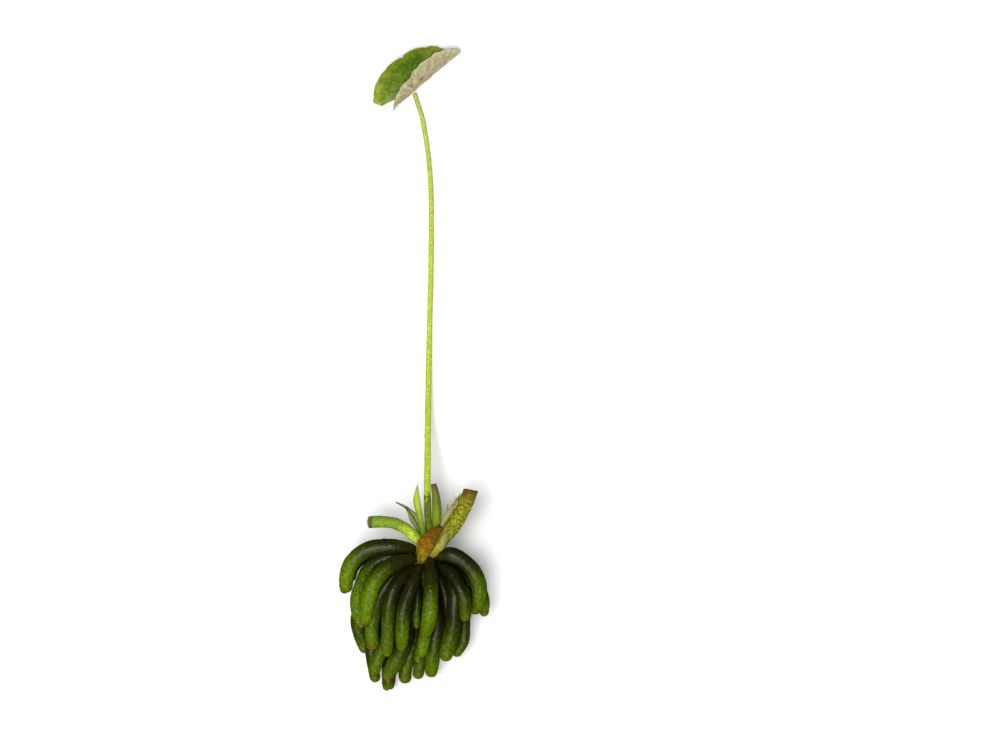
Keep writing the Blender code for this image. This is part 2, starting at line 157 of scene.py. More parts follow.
class PlantSettings(bpy.types.PropertyGroup):
    """Everything that a user would change on the plant."""

    tubers: PointerProperty(type=TuberSettings)
    crown: PointerProperty(type=CrownSettings)
    stalks: PointerProperty(type=StalkSettings)
    leaf: PointerProperty(type=LeafSettings)
    stage: PointerProperty(type=StageSettings)


class Recipe:
    """One Principled finish and the nodes that vary it over a surface."""

    def __init__(self, name, **values):
        self.material = bpy.data.materials.new(name)
        self.material.use_nodes = True
        self.nodes = self.material.node_tree.nodes
        self.links = self.material.node_tree.links
        self.shader = self.nodes["Principled BSDF"]
        self.place = self.nodes.new("ShaderNodeTexCoord").outputs["Object"]
        for socket, value in values.items():
            self.shader.inputs[socket.replace("_", " ")].default_value = value

    def feed(self, socket, value):
        if isinstance(value, bpy.types.NodeSocket):
            self.links.new(value, socket)
        else:
            socket.default_value = value

    def node(self, kind, inputs, **settings):
        made = self.nodes.new(kind)
        for setting, value in settings.items():
            setattr(made, setting, value)
        for socket, value in inputs.items():
            self.feed(made.inputs[socket], value)
        return made

    def mark(self, name):
        """A value written on the mesh's points."""
        return self.node("ShaderNodeAttribute", {}, attribute_name=name).outputs["Fac"]

    def noise(self, size, detail=3.0, roughness=0.55, distortion=0.0, place=None):
        inputs = {
            "Vector": place or self.place,
            "Scale": 1 / size,
            "Detail": detail,
            "Roughness": roughness,
            "Distortion": distortion,
        }
        return self.node("ShaderNodeTexNoise", inputs).outputs["Fac"]

    def shifted(self, distance):
        """The same coordinates moved sideways, so that two noises don't fall together."""
        return self.node("ShaderNodeVectorMath", {0: self.place, 1: (distance,) * 3}).outputs[0]

    def cells(self, size):
        """Distance to the nearest of many scattered points."""
        inputs = {"Vector": self.place, "Scale": 1 / size}
        return self.node("ShaderNodeTexVoronoi", inputs).outputs["Distance"]

    def remap(self, value, low, high, to_low=0.0, to_high=1.0):
        inputs = {"Value": value, "From Min": low, "From Max": high, "To Min": to_low, "To Max": to_high}
        return self.node("ShaderNodeMapRange", inputs).outputs["Result"]

    def spread(self, value, to_low, to_high):
        """A noise, which mostly lies from 0.3 to 0.7, stretched over a range."""
        return self.remap(value, 0.3, 0.7, to_low, to_high)

    def sum(self, first, second, operation="ADD"):
        return self.node("ShaderNodeMath", {0: first, 1: second}, operation=operation).outputs[0]

    def times(self, first, second):
        return self.sum(first, second, "MULTIPLY")

    def ramp(self, factor, *stops):
        """Colours at given positions of a factor."""
        made = self.node("ShaderNodeValToRGB", {"Fac": factor})
        elements = made.color_ramp.elements
        for element, (position, shade) in zip(elements, (stops[0], stops[-1])):
            element.position = position
            element.color = (*shade, 1)
        for position, shade in stops[1:-1]:
            elements.new(position).color = (*shade, 1)
        return made.outputs["Color"]

    def mix(self, factor, first, second, blend="MIX"):
        inputs = {0: factor, 6: self.opaque(first), 7: self.opaque(second)}
        return self.node("ShaderNodeMix", inputs, data_type="RGBA", blend_type=blend).outputs[2]

    def opaque(self, value):
        return value if isinstance(value, bpy.types.NodeSocket) else (*value, 1)

    def grey(self, value):
        """The same value in red, green and blue, for multiplying a colour."""
        return self.node("ShaderNodeCombineColor", {0: value, 1: value, 2: value}).outputs[0]

    def toned(self, base, strength):
        """The colour made darker or lighter by a strength."""
        return self.mix(1.0, base, self.grey(strength), "MULTIPLY")

    def bump(self, height, distance, strength=1.0, under=None):
        made = self.node("ShaderNodeBump", {"Height": height, "Distance": distance, "Strength": strength})
        if under is not None:
            self.links.new(under, made.inputs["Normal"])
        return made.outputs["Normal"]

    def finish(self, base, roughness=None, normal=None):
        for socket, value in {"Base Color": base, "Roughness": roughness, "Normal": normal}.items():
            if value is not None:
                self.links.new(value, self.shader.inputs[socket])
        return self.material


class Line:
    """A smooth centreline with a radius at every place, from rings of (x, y, z, radius)."""

    def __init__(self, rings):
        rings = np.array(rings, float)
        padded = np.vstack([2 * rings[0] - rings[1], rings, 2 * rings[-1] - rings[-2]])
        t = np.linspace(0, 1, STEPS_BETWEEN_RINGS, endpoint=False)[:, None]
        pieces = [
            0.5
            * (
                2 * start
                + (end - before) * t
                + (2 * before - 5 * start + 4 * end - after) * t**2
                + (3 * start - before - 3 * end + after) * t**3
            )
            for before, start, end, after in zip(padded, padded[1:], padded[2:], padded[3:])
        ]
        path = np.vstack([*pieces, rings[-1:]])
        self.places = path[:, :3]
        self.radii = path[:, 3]
        self.run = np.concatenate([[0], np.cumsum(np.linalg.norm(np.diff(self.places, axis=0), axis=1))])
        self.length = self.run[-1]

    def place(self, distance):
        """Places at distances along the line, which runs straight on past both its ends."""
        heading_in = self.places[0] - self.places[1]
        heading_out = self.places[-1] - self.places[-2]
        heading_in *= BEYOND_THE_END / np.linalg.norm(heading_in)
        heading_out *= BEYOND_THE_END / np.linalg.norm(heading_out)
        run = np.concatenate([[-BEYOND_THE_END], self.run, [self.length + BEYOND_THE_END]])
        path = np.vstack([self.places[0] + heading_in, self.places, self.places[-1] + heading_out])
        return np.column_stack([np.interp(distance, run, path[:, k]) for k in range(3)])

    def radius(self, distance):
        return np.interp(distance, self.run, self.radii)

    def frames(self, distance):
        """The heading at each distance, and two directions square to it that turn least along the line."""
        heading = self.place(distance + HEADING_STEP) - self.place(distance - HEADING_STEP)
        heading /= np.linalg.norm(heading, axis=1)[:, None]
        side = np.zeros_like(heading)
        reference = np.array((0.0, 0.0, 1.0))
        for k, forward in enumerate(heading):
            across = reference - forward * (reference @ forward)
            side[k] = across / np.linalg.norm(across)
            reference = side[k]
        return heading, side, np.cross(heading, side)


def rings_of(node):
    """A strand's rings as (x, y, z, radius), read from its solid, from the end by the crown to the other."""
    form = bmesh.new()
    form.from_mesh(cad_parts[node].data)
    bmesh.ops.remove_doubles(form, verts=form.verts, dist=MERGE_DISTANCE)
    bmesh.ops.dissolve_limit(form, angle_limit=CAP_ANGLE, verts=[], edges=form.edges)
    form.verts.index_update()
    ring = end_cap(form, node)
    seen = set(ring)
    rings = []
    while ring:
        places = np.array([corner.co for corner in ring])
        centre = places.mean(axis=0)
        rings.append((*centre, np.linalg.norm(places - centre, axis=1).mean()))
        onward = {edge.other_vert(corner) for corner in ring for edge in corner.link_edges} - seen
        seen |= onward
        ring = sorted(onward, key=lambda corner: corner.index)
    form.free()
    rings = np.array(rings)
    low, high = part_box("crown")
    crown = np.array((low + high) / 2)
    if np.linalg.norm(rings[-1, :3] - crown) < np.linalg.norm(rings[0, :3] - crown):
        rings = rings[::-1]
    return rings


def end_cap(form, node):
    """The corners of a round flat cap at one end of a strand."""
    for face in form.faces:
        if len(face.verts) == RING_CORNERS:
            places = np.array([corner.co for corner in face.verts])
            reach = np.linalg.norm(places - places.mean(axis=0), axis=1)
            if np.ptp(reach) < CAP_ROUNDNESS * reach.mean():
                return list(face.verts)
    raise RuntimeError(f"the solid {node} has no round end")


def ease(value):
    """A smooth rise from 0 to 1."""
    value = np.clip(value, 0, 1)
    return value * value * (3 - 2 * value)


def uneven(places, size, seed=0):
    """Smooth noise from -1 to 1 at each place, with features of about the size given."""
    return np.array([noise.noise(row) for row in (places / size + seed).tolist()])


def nearest_cell(places, size):
    """Distance to the nearest of many scattered points about the size apart, in units of the size."""
    return np.array([noise.voronoi(row)[0][0] for row in (places / size).tolist()])


def as_mesh(name, form):
    """The mesh of a finished form, which is freed."""
    mesh = bpy.data.meshes.new(name)
    form.to_mesh(mesh)
    form.free()
    return mesh


def coordinates(mesh):
    flat = np.empty(len(mesh.vertices) * 3)
    mesh.vertices.foreach_get("co", flat)
    return flat.reshape(-1, 3)


def write_marks(mesh, marks):
    for name, values in marks.items():
        mark = mesh.attributes.new(name, "FLOAT", "POINT")
        mark.data.foreach_set("value", np.asarray(values, np.float32))


def round_end(start, height, radius, count, fullness=1.0):
    """Distances and radii of rings that close a skin with a dome, from its foot to its top."""
    angle = np.linspace(0, math.pi / 2, count + 1)[1:]
    return start + height * np.sin(angle), radius * np.cos(angle) ** fullness


def end_to_end(root, body, end):
    """Joins three pairs of distances and radii. The root runs backwards, and both ends close to a point."""
    distances = np.concatenate([-root[0][::-1], body[0], end[0]])
    radii = np.concatenate([root[1][::-1], body[1], end[1]])
    radii[[0, -1]] = 0
    return distances, radii


def skin(name, line, distances, radii, around, marks, relief=None):
    """A closed skin round a line, with a ring at each distance.

    marks gives values for every point, and relief how far it stands out and how far it slides forward.
    """
    rings = len(distances) - 1
    form = bmesh.new()
    bmesh.ops.create_uvsphere(form, u_segments=around, v_segments=rings, radius=1)
    mesh = as_mesh(name, form)
    unit = coordinates(mesh)
    ring = np.rint(np.arccos(np.clip(-unit[:, 2], -1, 1)) / math.pi * rings).astype(int)
    turn = np.arctan2(unit[:, 1], unit[:, 0])
    heading, side, other_side = line.frames(distances)
    out = np.cos(turn)[:, None] * side[ring] + np.sin(turn)[:, None] * other_side[ring]
    distance, radius = distances[ring], radii[ring]
    places = line.place(distances)[ring] + radius[:, None] * out
    share = distance / line.length
    spot = SimpleNamespace(place=places, turn=turn, distance=distance, share=share, radius=radius, out=out)
    if relief is not None:
        lift, forward = relief(spot)
        places = places + out * lift[:, None] + heading[ring] * np.broadcast_to(forward, lift.shape)[:, None]
    places[:, 2] = np.maximum(places[:, 2], 0)
    mesh.vertices.foreach_set("co", places.ravel())
    write_marks(mesh, marks(spot))
    return mesh


def sheet(name, columns, rows, place_of, marks_of):
    """A thin open skin: place_of turns two shares, across and along, into places."""
    form = bmesh.new()
    bmesh.ops.create_grid(form, x_segments=columns, y_segments=rows, size=0.5)
    mesh = as_mesh(name, form)
    across, along, _ = (coordinates(mesh) + 0.5).T
    mesh.vertices.foreach_set("co", place_of(across, along).ravel())
    write_marks(mesh, marks_of(across, along))
    return mesh


def joined(name, meshes):
    """One mesh of several."""
    form = bmesh.new()
    for mesh in meshes:
        form.from_mesh(mesh)
        bpy.data.meshes.remove(mesh)
    return as_mesh(name, form)


def shown(name, data):
    """Puts a mesh, a light or a camera into the scene."""
    thing = bpy.data.objects.new(name, data)
    bpy.context.scene.collection.objects.link(thing)
    return thing


def placed(name, mesh, finishes, slot, *replaced):
    """Makes the mesh a piece of the plant."""
    piece = shown(name, mesh)
    mesh.materials.clear()
    for finish in finishes:
        mesh.materials.append(finish)
    mesh.shade_smooth()
    mesh.update()
    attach(piece, BODY)
    if replaced:
        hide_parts(*replaced)
    return piece


def walled(piece, thickness, material_offset=0):
    """Gives a thin open skin its thickness, half to each side."""
    wall = piece.modifiers.new("Thickness", "SOLIDIFY")
    wall.thickness = thickness
    wall.offset = 0
    wall.material_offset = material_offset
    wall.material_offset_rim = 2 * material_offset


# Tubers

# How far along a tuber, from the crown, its dark end turns green, and how pale it is, from 0 to 1.
# The tubers with a number here show from above. The others draw theirs from these ranges. Tuber 11 turns
# late and has no paleness as painted shade, for the shade it lies in between its neighbours.
TUBER_TURN = {
    1: 0.56, 2: 0.42, 3: 0.43, 4: 0.58, 5: 0.56, 6: 0.58, 7: 0.55, 8: 0.46, 9: 0.62, 10: 0.60, 11: 0.95,
    12: 0.66, 13: 0.68, 14: 0.52, 15: 0.66, 16: 0.70, 17: 0.72, 18: 0.78, 19: 0.66, 20: 0.60, 21: 0.84,
    22: 0.7,
}
TUBER_PALENESS = {
    1: 1.00, 2: 0.60, 3: 0.88, 4: 0.45, 5: 0.30, 6: 0.40, 7: 0.1, 8: 0.60, 9: 0.90, 10: 0.4, 11: 0.0,
    12: 0.25, 13: 0.00, 14: 0.40, 15: 0.3, 16: 0.10, 17: 0.2, 18: 0.30, 19: 0.4, 20: 0.05, 21: 0.30,
    22: 0.2,
}
# Painted shade: the other tubers lie deep in the hand, and these ranges keep them late to turn and dark, as
# the shade in the gaps between the tubers that show
OTHER_SHADED_TURN = (0.62, 0.80)
OTHER_SHADED_PALENESS = (0.0, 0.15)
TUBER_SEED = 7

# Tips: how far the nub stands out, in tip radii, and how rusty it is, from 0 to 1
PLAIN_TIP = (0.12, 0.6)
TUBER_TIPS = {
    1: (0.20, 1.0), 2: (0.20, 1.0), 3: (0.16, 1.0), 4: (0.16, 0.9), 5: (0.18, 0.9), 6: (0.20, 1.0),
    7: (0.28, 1.0), 8: (0.18, 1.0), 9: (0.14, 0.7), 10: (0.04, 0.2), 12: (0.05, 0.2), 13: (0.12, 0.5),
    14: (0.12, 0.6), 16: (0.12, 0.5), 18: (0.05, 0.3), 20: (0.12, 1.0), 21: (0.22, 0.5), 22: (0.16, 1.0),
    23: (0.06, 0.5), 24: (0.04, 0.1),
}

# Tubers whose end is knobbly over this length, and how far its knobs stand out
TUBER_KNOBS = {21: 0.55 * MM, 17: 0.15 * MM}
KNOBBLY_LENGTH = 3.5 * MM

# A tuber's skin: how deep its root goes, and the rings of its root and its tip. In tip radii, the tip's
# height, how far it leans to one side, and the radius of its nub
TUBER_ROOT = 1.2 * MM
TUBER_BASE_RINGS = 5
TUBER_TIP_RINGS = 22
TUBER_TIP_HEIGHT = 0.92
TUBER_TIP_LEAN = 0.36
NUB_SHARE = 0.27

# Breadths of the unevenness, and the distance between the fine bumps
LUMP_SIZE = 3.4 * MM
DENT_SIZE = 0.95 * MM
KNOB_SIZE = 1.1 * MM
BUMP_SPACING = 0.85 * MM

# The small wart: the number of its tuber, and its place seen from above
WART_TUBER = 1
WART_PLACE = np.array((-8.2, -46.4)) * MM
WART_BREADTH = 0.28 * MM
WART_HEIGHT = 0.3 * MM


def tuber_profile(line, tip_radius, nub_height, settings):
    """Distances and radii of a tuber's rings: a buried root, the full body, a domed tip and a small nub."""
    dome = TUBER_TIP_HEIGHT * tip_radius
    body_end = line.length - dome
    body = np.linspace(0, body_end, settings.along - TUBER_BASE_RINGS - TUBER_TIP_RINGS)
    body_radii = line.radius(body) * settings.fullness
    tip, tip_radii = round_end(body_end, dome, body_radii[-1], TUBER_TIP_RINGS)
    nub = NUB_SHARE * tip_radius
    climb = np.clip((tip - tip[-1] + nub) / nub, 0, 1)
    tip = tip + nub_height * tip_radius * ease(climb)
    tip_radii = np.maximum(tip_radii, nub * np.sqrt(1 - climb**4) * (climb > 0))
    root = round_end(0, TUBER_ROOT, body_radii[0], TUBER_BASE_RINGS)
    return end_to_end(root, (body, body_radii), (tip, tip_radii))


def tuber_skin(number, settings, turn_share, paleness):
    """One tuber's fine skin, with lumps, dents and papillae."""
    full = rings_of(f"tuber_{number:02d}")[:-2]
    tip_radius = full[-1, 3]
    heading = full[-1, :3] - full[-2, :3]
    heading /= np.linalg.norm(heading)
    leaning = np.array((-0.3, 0.0, 1.0)) + 0.5 * np.array(noise.random_unit_vector(size=3))
    leaning -= heading * (heading @ leaning)
    leaning /= np.linalg.norm(leaning)
    apex = full[-1, :3] + (heading * TUBER_TIP_HEIGHT + leaning * TUBER_TIP_LEAN) * tip_radius
    line = Line(np.vstack([full, [*apex, tip_radius]]))
    nub_height, rustiness = TUBER_TIPS.get(number, PLAIN_TIP)
    distances, radii = tuber_profile(line, tip_radius, nub_height, settings)
    girth = radii.max()

    def relief(spot):
        calm = ease(spot.radius / (0.6 * girth))
        papillae = 1 - ease(nearest_cell(spot.place, BUMP_SPACING) / 0.6)
        knobs = TUBER_KNOBS.get(number, 0.0) * ease(1 - (line.length - spot.distance) / KNOBBLY_LENGTH)
        lift = (
            settings.lumps * uneven(spot.place, LUMP_SIZE, number)
            + settings.dents * uneven(spot.place, DENT_SIZE, number)
            + knobs * uneven(spot.place, KNOB_SIZE, number + 20)
            + settings.papillae * papillae * (0.1 + 0.9 * ease((spot.share - turn_share + 0.1) / 0.5))
        )
        return lift * calm + WART_HEIGHT * on_wart(spot), 0.0

    def on_wart(spot):
        off = np.linalg.norm(spot.place[:, :2] - WART_PLACE, axis=1)
        return (number == WART_TUBER) * np.exp(-((off / WART_BREADTH) ** 2)) * (spot.out[:, 2] > -0.1)

    def marks(spot):
        to_tip = (line.length - spot.distance) / tip_radius
        return {
            "green": ease(0.5 + (spot.share - turn_share) / 0.62),
            "scar": rustiness * (1 - ease((to_tip + nub_height - 0.04) / 0.36)),
            "tip": 1 - ease(to_tip / 0.9),
            "paleness": np.full(len(spot.share), paleness),
            "wart": on_wart(spot),
        }

    return skin(f"banana_tuber_{number:02d}", line, distances, radii, settings.around, marks, relief)


def tuber_finish(settings):
    """Wet, finely bumpy skin: brown-black by the crown, green further on, yellowish at the tip."""
    recipe = Recipe("tuber_skin", Specular_IOR_Level=0.32, Specular_Tint=(0.95, 1.0, 0.66, 1.0))
    broad = recipe.noise(3.2 * MM, detail=4)
    fine = recipe.noise(0.6 * MM, detail=3, roughness=0.7)
    green = recipe.mark("green")
    body = recipe.ramp(
        recipe.sum(green, recipe.remap(broad, 0.25, 0.75, -0.16, 0.16)),
        (0.0, settings.crown_end),
        (0.28, settings.shoulder),
        (0.55, settings.middle),
        (0.82, settings.ripe),
        (1.0, tuple(1.4 * c for c in settings.ripe)),
    )
    pale = recipe.remap(recipe.mark("paleness"), 0.0, 1.0, 0.72, 1.42)
    body = recipe.toned(body, recipe.times(pale, recipe.remap(fine, 0.36, 0.64, 0.60, 1.40)))
    tipped = recipe.sum(recipe.mark("tip"), recipe.spread(fine, -0.2, 0.2))
    body = recipe.mix(recipe.remap(tipped, 0.1, 1.0, 0.0, 0.85), body, settings.tip)
    scar_edge = recipe.sum(recipe.mark("scar"), recipe.spread(fine, -0.3, 0.3))
    scar = recipe.mix(recipe.remap(fine, 0.45, 0.6), settings.scar, settings.rust)
    body = recipe.mix(recipe.remap(scar_edge, 0.25, 0.8), body, scar)
    flecks = recipe.remap(recipe.cells(0.7 * MM), 0.08, 0.26, 0.60, 0.0)
    flecks = recipe.times(flecks, recipe.remap(green, 0.2, 1.0, 0.35, 1.0))
    body = recipe.mix(flecks, body, settings.fleck)
    body = recipe.mix(recipe.remap(recipe.mark("wart"), 0.1, 0.5), body, settings.wart)
    roughness = recipe.remap(green, 0.1, 0.75, 0.38, 0.10)
    grain = recipe.sum(
        recipe.remap(recipe.cells(BUMP_SPACING), 0.0, 0.6), recipe.remap(fine, 0.35, 0.65, 0.0, 0.6)
    )
    grain = recipe.times(grain, recipe.remap(green, 0.2, 1.0, 0.4, 1.3))
    return recipe.finish(body, roughness, recipe.bump(grain, 0.11 * MM))


class PLANT_OT_tubers(bpy.types.Operator):
    """Makes the hand of banana-shaped tubers"""

    bl_idname = "banana_plant.tubers"
    bl_label = "Tubers"

    def execute(self, context):
        settings = context.scene.banana_plant.tubers
        finish = tuber_finish(settings)
        chance = np.random.default_rng(TUBER_SEED)
        # Blender's own draws, which lean the tips, start from the clock unless they are seeded
        noise.seed_set(TUBER_SEED)
        # Every tuber draws, so that a number added to the tables changes no other tuber
        nodes = sorted(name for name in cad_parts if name.startswith("tuber_"))
        for number, node in enumerate(nodes, 1):
            # The tubers without a number take the dark ranges, painted shade for the gaps between the others
            turn_share = TUBER_TURN.get(number, chance.uniform(*OTHER_SHADED_TURN))
            paleness = TUBER_PALENESS.get(number, chance.uniform(*OTHER_SHADED_PALENESS))
            mesh = tuber_skin(number, settings, turn_share, paleness)
            placed(mesh.name, mesh, [finish], "tuber", node)
        return {"FINISHED"}


# Crown, its fibres and the old sheaths

# The crown's skin: its faces around (and the old sheath's), its rings in all and in each end, how far each
# end is rounded past the solid, its radius over the solid's corners', and its lengthwise ridges
CROWN_AROUND = 96
CROWN_RINGS = 110
CROWN_END_RINGS = 10
CROWN_START_DOME = 0.6 * MM
CROWN_END_DOME = 0.9 * MM
CROWN_SWELLING = 1.16
CROWN_RIDGES = 11

# A thread's faces around and rings, and the places along a strand from which fibres take their directions
FIBRE_AROUND = 6
FIBRE_RINGS = 18
FIBRE_STATIONS = 40
FIBRE_SEED = 21
FRINGE_SEED = 5

# A torn skin's faces across and along, and how much of its breadth it loses towards its ragged edge
FLAP_COLUMNS = 36
FLAP_ROWS = 60
FLAP_NARROWING = 0.55

# The directions that the torn skins face
UP = np.array((0.0, 0.0, 1.0))
UP_AND_LEFT = np.array((-0.62, 0.36, 0.70))

# The pale skin at the thick stalk's foot starts over the crown with these rings, (x, y, z, radius), and
# follows the stalk from this y
BASE_SKIN_FOOT = np.array(((3.4, -51.6, 20.0, 0.8), (4.7, -49.9, 19.2, 2.0), (6.1, -48.0, 18.4, 2.4))) * MM
BASE_SKIN_MEETS_STALK = -46.4 * MM

# The brown stick at the top of the torn sheath
STICK_PLACES = np.array(((8.9, -38.7, 19.4), (8.9, -37.7, 19.9), (9.25, -36.5, 20.3))) * MM

# Shares of the old sheath's length, and its breadth there in radii of its solid: widest at the crown
OLD_SHEATH_BREADTH = ((0.0, 0.35, 0.6, 0.8, 1.0), (1.34, 1.10, 0.90, 0.78, 0.86))


def crown_finish(settings, name="crown_skin", redness=0.5):
    """Damp fibrous skin in ochre, rust and cream patches, with painted shade towards its foot."""
    recipe = Recipe(name, Specular_IOR_Level=0.15)
    broad = recipe.noise(1.7 * MM, detail=4, distortion=0.6)
    fine = recipe.noise(0.28 * MM, detail=4, roughness=0.7)
    body = recipe.ramp(
        recipe.sum(broad, recipe.spread(fine, -0.12, 0.12)),
        (0.30, settings.dark),
        (0.40, settings.rust),
        (0.40 + 0.25 * (1 - redness), settings.ochre),
        (0.62 + 0.1 * redness, settings.ochre),
        (0.80, settings.straw),
    )
    # Painted shade: the low mark darkens the crown towards its foot, where shade falls; the fibres carry no
    # low mark
    body = recipe.mix(recipe.mark("low"), body, settings.dark)
    body = recipe.toned(body, recipe.remap(fine, 0.25, 0.75, 0.55, 1.35))
    normal = recipe.bump(fine, 0.16 * MM, 0.8, recipe.bump(broad, 0.3 * MM, 0.5))
    return recipe.finish(body, recipe.spread(broad, 0.38, 0.62), normal)


def crown_mesh():
    line = Line(rings_of("crown"))
    body = np.linspace(0, line.length, CROWN_RINGS - 2 * CROWN_END_RINGS)
    body_radii = line.radius(body) * CROWN_SWELLING
    start = round_end(0, CROWN_START_DOME, body_radii[0], CROWN_END_RINGS)
    end = round_end(line.length, CROWN_END_DOME, body_radii[-1], CROWN_END_RINGS)
    distances, radii = end_to_end(start, (body, body_radii), end)

    def relief(spot):
        twist = spot.turn + 1.2 * uneven(spot.place, 2.5 * MM)
        ridges = 0.16 * MM * np.abs(np.sin(CROWN_RIDGES / 2 * twist))
        lift = ridges + 0.30 * MM * uneven(spot.place, 1.6 * MM) + 0.10 * MM * uneven(spot.place, 0.5 * MM)
        return lift * ease(spot.radius / (0.5 * radii.max())), 0.0

    def marks(spot):
        # low: how far a point lies into the painted shade at the crown's foot
        return {"low": ease((spot.share - 0.62) / 0.25) * 0.85}

    return skin("crown_core", line, distances, radii, CROWN_AROUND, marks, relief)


def fibre(name, places, thickness, root_thickness):
    """A thin tapered thread through a few places."""
    line = Line([(*place, 1.0) for place in places])
    distances = np.linspace(0, line.length, FIBRE_RINGS + 1)
    share = distances / line.length
    taper = np.sin(math.pi * np.clip(share, 0.02, 0.98)) ** 0.35
    radii = 0.5 * (root_thickness + (thickness - root_thickness) * share) * taper
    radii[[0, -1]] = 0
    return skin(name, line, distances, radii, FIBRE_AROUND, lambda spot: {"low": spot.share * 0})


def loose_fibres(name, line, swelling, count, seed, way):
    """Dead fibres that run along a strand, forwards or back by the way's sign, and part from it a little."""
    chance = np.random.default_rng(seed)
    _, side, other = line.frames(np.linspace(0, line.length, FIBRE_STATIONS))
    meshes = []
    for k in range(count):
        turn = chance.uniform(0, 2 * math.pi)
        start = chance.uniform(0.25, 0.75)
        end = start + way * chance.uniform(0.2, 0.45)
        stray = chance.uniform(0.0, 0.9) * MM
        places = []
        for t in np.linspace(0, 1, 6):
            share = start + (end - start) * t
            station = int(np.clip(share, 0, 1) * (FIBRE_STATIONS - 1))
            angle = turn + 0.5 * math.sin(3 * t + k)
            out = math.cos(angle) * side[station] + math.sin(angle) * other[station]
            reach = line.radius(share * line.length) * swelling + 0.18 * MM + stray * t * t
            places.append(line.place(np.array([share * line.length]))[0] + out * reach)
        meshes.append(fibre(f"fibre_{k}", places, 0.10 * MM, 0.24 * MM))
    return joined(name, meshes)


def torn_fringe(line, count):
    """Loose threads along the far half of the torn sheath."""
    chance = np.random.default_rng(FRINGE_SEED)
    meshes = []
    for k in range(count):
        start = line.place(np.array([line.length * chance.uniform(0.5, 1.0)]))[0]
        run = np.array([chance.uniform(*span) for span in ((-1.5, 0.3), (0.5, 1.9), (-0.2, 0.5))]) * MM
        bow = np.array([chance.uniform(*span) for span in ((-0.6, 0.3), (-0.2, 0.2), (0.0, 0.4))]) * MM
        places = [start + run * t + bow * math.sin(math.pi * t) for t in np.linspace(0, 1, 5)]
        meshes.append(fibre(f"thread_{k}", places, 0.07 * MM, 0.16 * MM))
    return joined("torn_sheath_fringe", meshes)


def flap(name, line, start, end, half_angle, radius_share, facing, ragged, seed, narrows=0.55):
    """A torn skin that wraps part of the way round a line on the side it faces, with a ragged far edge.

    It narrows from the share of its length given.
    """
    chance = np.random.default_rng(seed)
    teeth = chance.uniform(-1, 1, FLAP_COLUMNS + 2)

    def place_of(across, along):
        edge = ragged * np.interp(across, np.linspace(0, 1, len(teeth)), teeth)
        stretch = start + (end + edge - start) * along
        order = np.argsort(stretch)
        _, side, other = line.frames(stretch[order])
        back = np.empty_like(order)
        back[order] = np.arange(len(order))
        side, other = side[back], other[back]
        taper = 1 - FLAP_NARROWING * ease((along - narrows) / (1 - narrows))
        middle = np.arctan2(other @ facing, side @ facing)
        angle = middle + (across - 0.5) * 2 * half_angle * taper
        out = np.cos(angle)[:, None] * side + np.sin(angle)[:, None] * other
        base = line.place(stretch) + out * (line.radius(stretch) * radius_share)[:, None]
        lift = 0.16 * MM * uneven(base, 0.9 * MM, seed) + 0.28 * MM * uneven(base, 2.3 * MM, seed) * along
        return base + out * lift[:, None]

    def marks_of(across, along):
        edge = np.maximum(np.abs(across - 0.5) * 2, 2 * along - 1)
        return {"edge": ease((edge - 0.62) / 0.38), "low": 1 - ease((along - 0.08) / 0.42)}

    return sheet(name, FLAP_COLUMNS, FLAP_ROWS, place_of, marks_of)


def skin_finish(name, light, dark, edge, foot=None):
    """A thin torn skin with lengthwise fibres, turning to the foot's colour where it leaves the crown."""
    recipe = Recipe(name, Specular_IOR_Level=0.2)
    stretch = {"Vector": recipe.place, "Scale": (1.0, 0.35, 1.0)}
    stretched = recipe.node("ShaderNodeMapping", stretch).outputs[0]
    streaks = recipe.noise(0.45 * MM, detail=4, roughness=0.65, place=stretched)
    broad = recipe.noise(1.6 * MM, detail=3)
    mixed = recipe.sum(streaks, recipe.spread(broad, -0.12, 0.12))
    body = recipe.ramp(mixed, (0.25, dark), (0.50, light), (0.80, tuple(1.2 * c for c in light)))
    fine = recipe.noise(0.3 * MM, detail=3, roughness=0.7)
    body = recipe.toned(body, recipe.remap(fine, 0.36, 0.64, 0.66, 1.25))
    body = recipe.mix(recipe.times(recipe.mark("edge"), 0.8), body, edge)
    if foot is not None:
        patchy = recipe.sum(recipe.mark("low"), recipe.remap(streaks, 0.35, 0.65, -0.35, 0.35))
        body = recipe.mix(recipe.remap(patchy, 0.2, 0.8), body, foot)
    normal = recipe.bump(streaks, 0.08 * MM, 0.7)
    return recipe.finish(body, recipe.spread(broad, 0.35, 0.6), normal)


def old_sheath_mesh(line):
    """The dead sheath: a crumbling lump that thins to its tip."""
    body = np.linspace(0, line.length, 80)
    body_radii = line.radius(body) * np.interp(body / line.length, *OLD_SHEATH_BREADTH)
    start = round_end(0, 2.3 * MM, body_radii[0], 16, 0.9)
    end = round_end(line.length, 0.5 * MM, body_radii[-1], 8)
    distances, radii = end_to_end(start, (body, body_radii), end)

    def relief(spot):
        twist = spot.turn + 0.9 * uneven(spot.place, 1.4 * MM, 3)
        crumbs = 0.16 * MM * np.abs(np.sin(6.5 * twist)) + 0.14 * MM * uneven(spot.place, 0.4 * MM, 7)
        lift = crumbs + 0.50 * MM * uneven(spot.place, 1.3 * MM, 11) + 0.1 * MM
        return lift * ease(spot.radius / (0.5 * radii.max())), 0.0

    def marks(spot):
        return {"along": spot.share}

    return skin("old_sheath_skin", line, distances, radii, CROWN_AROUND, marks, relief)


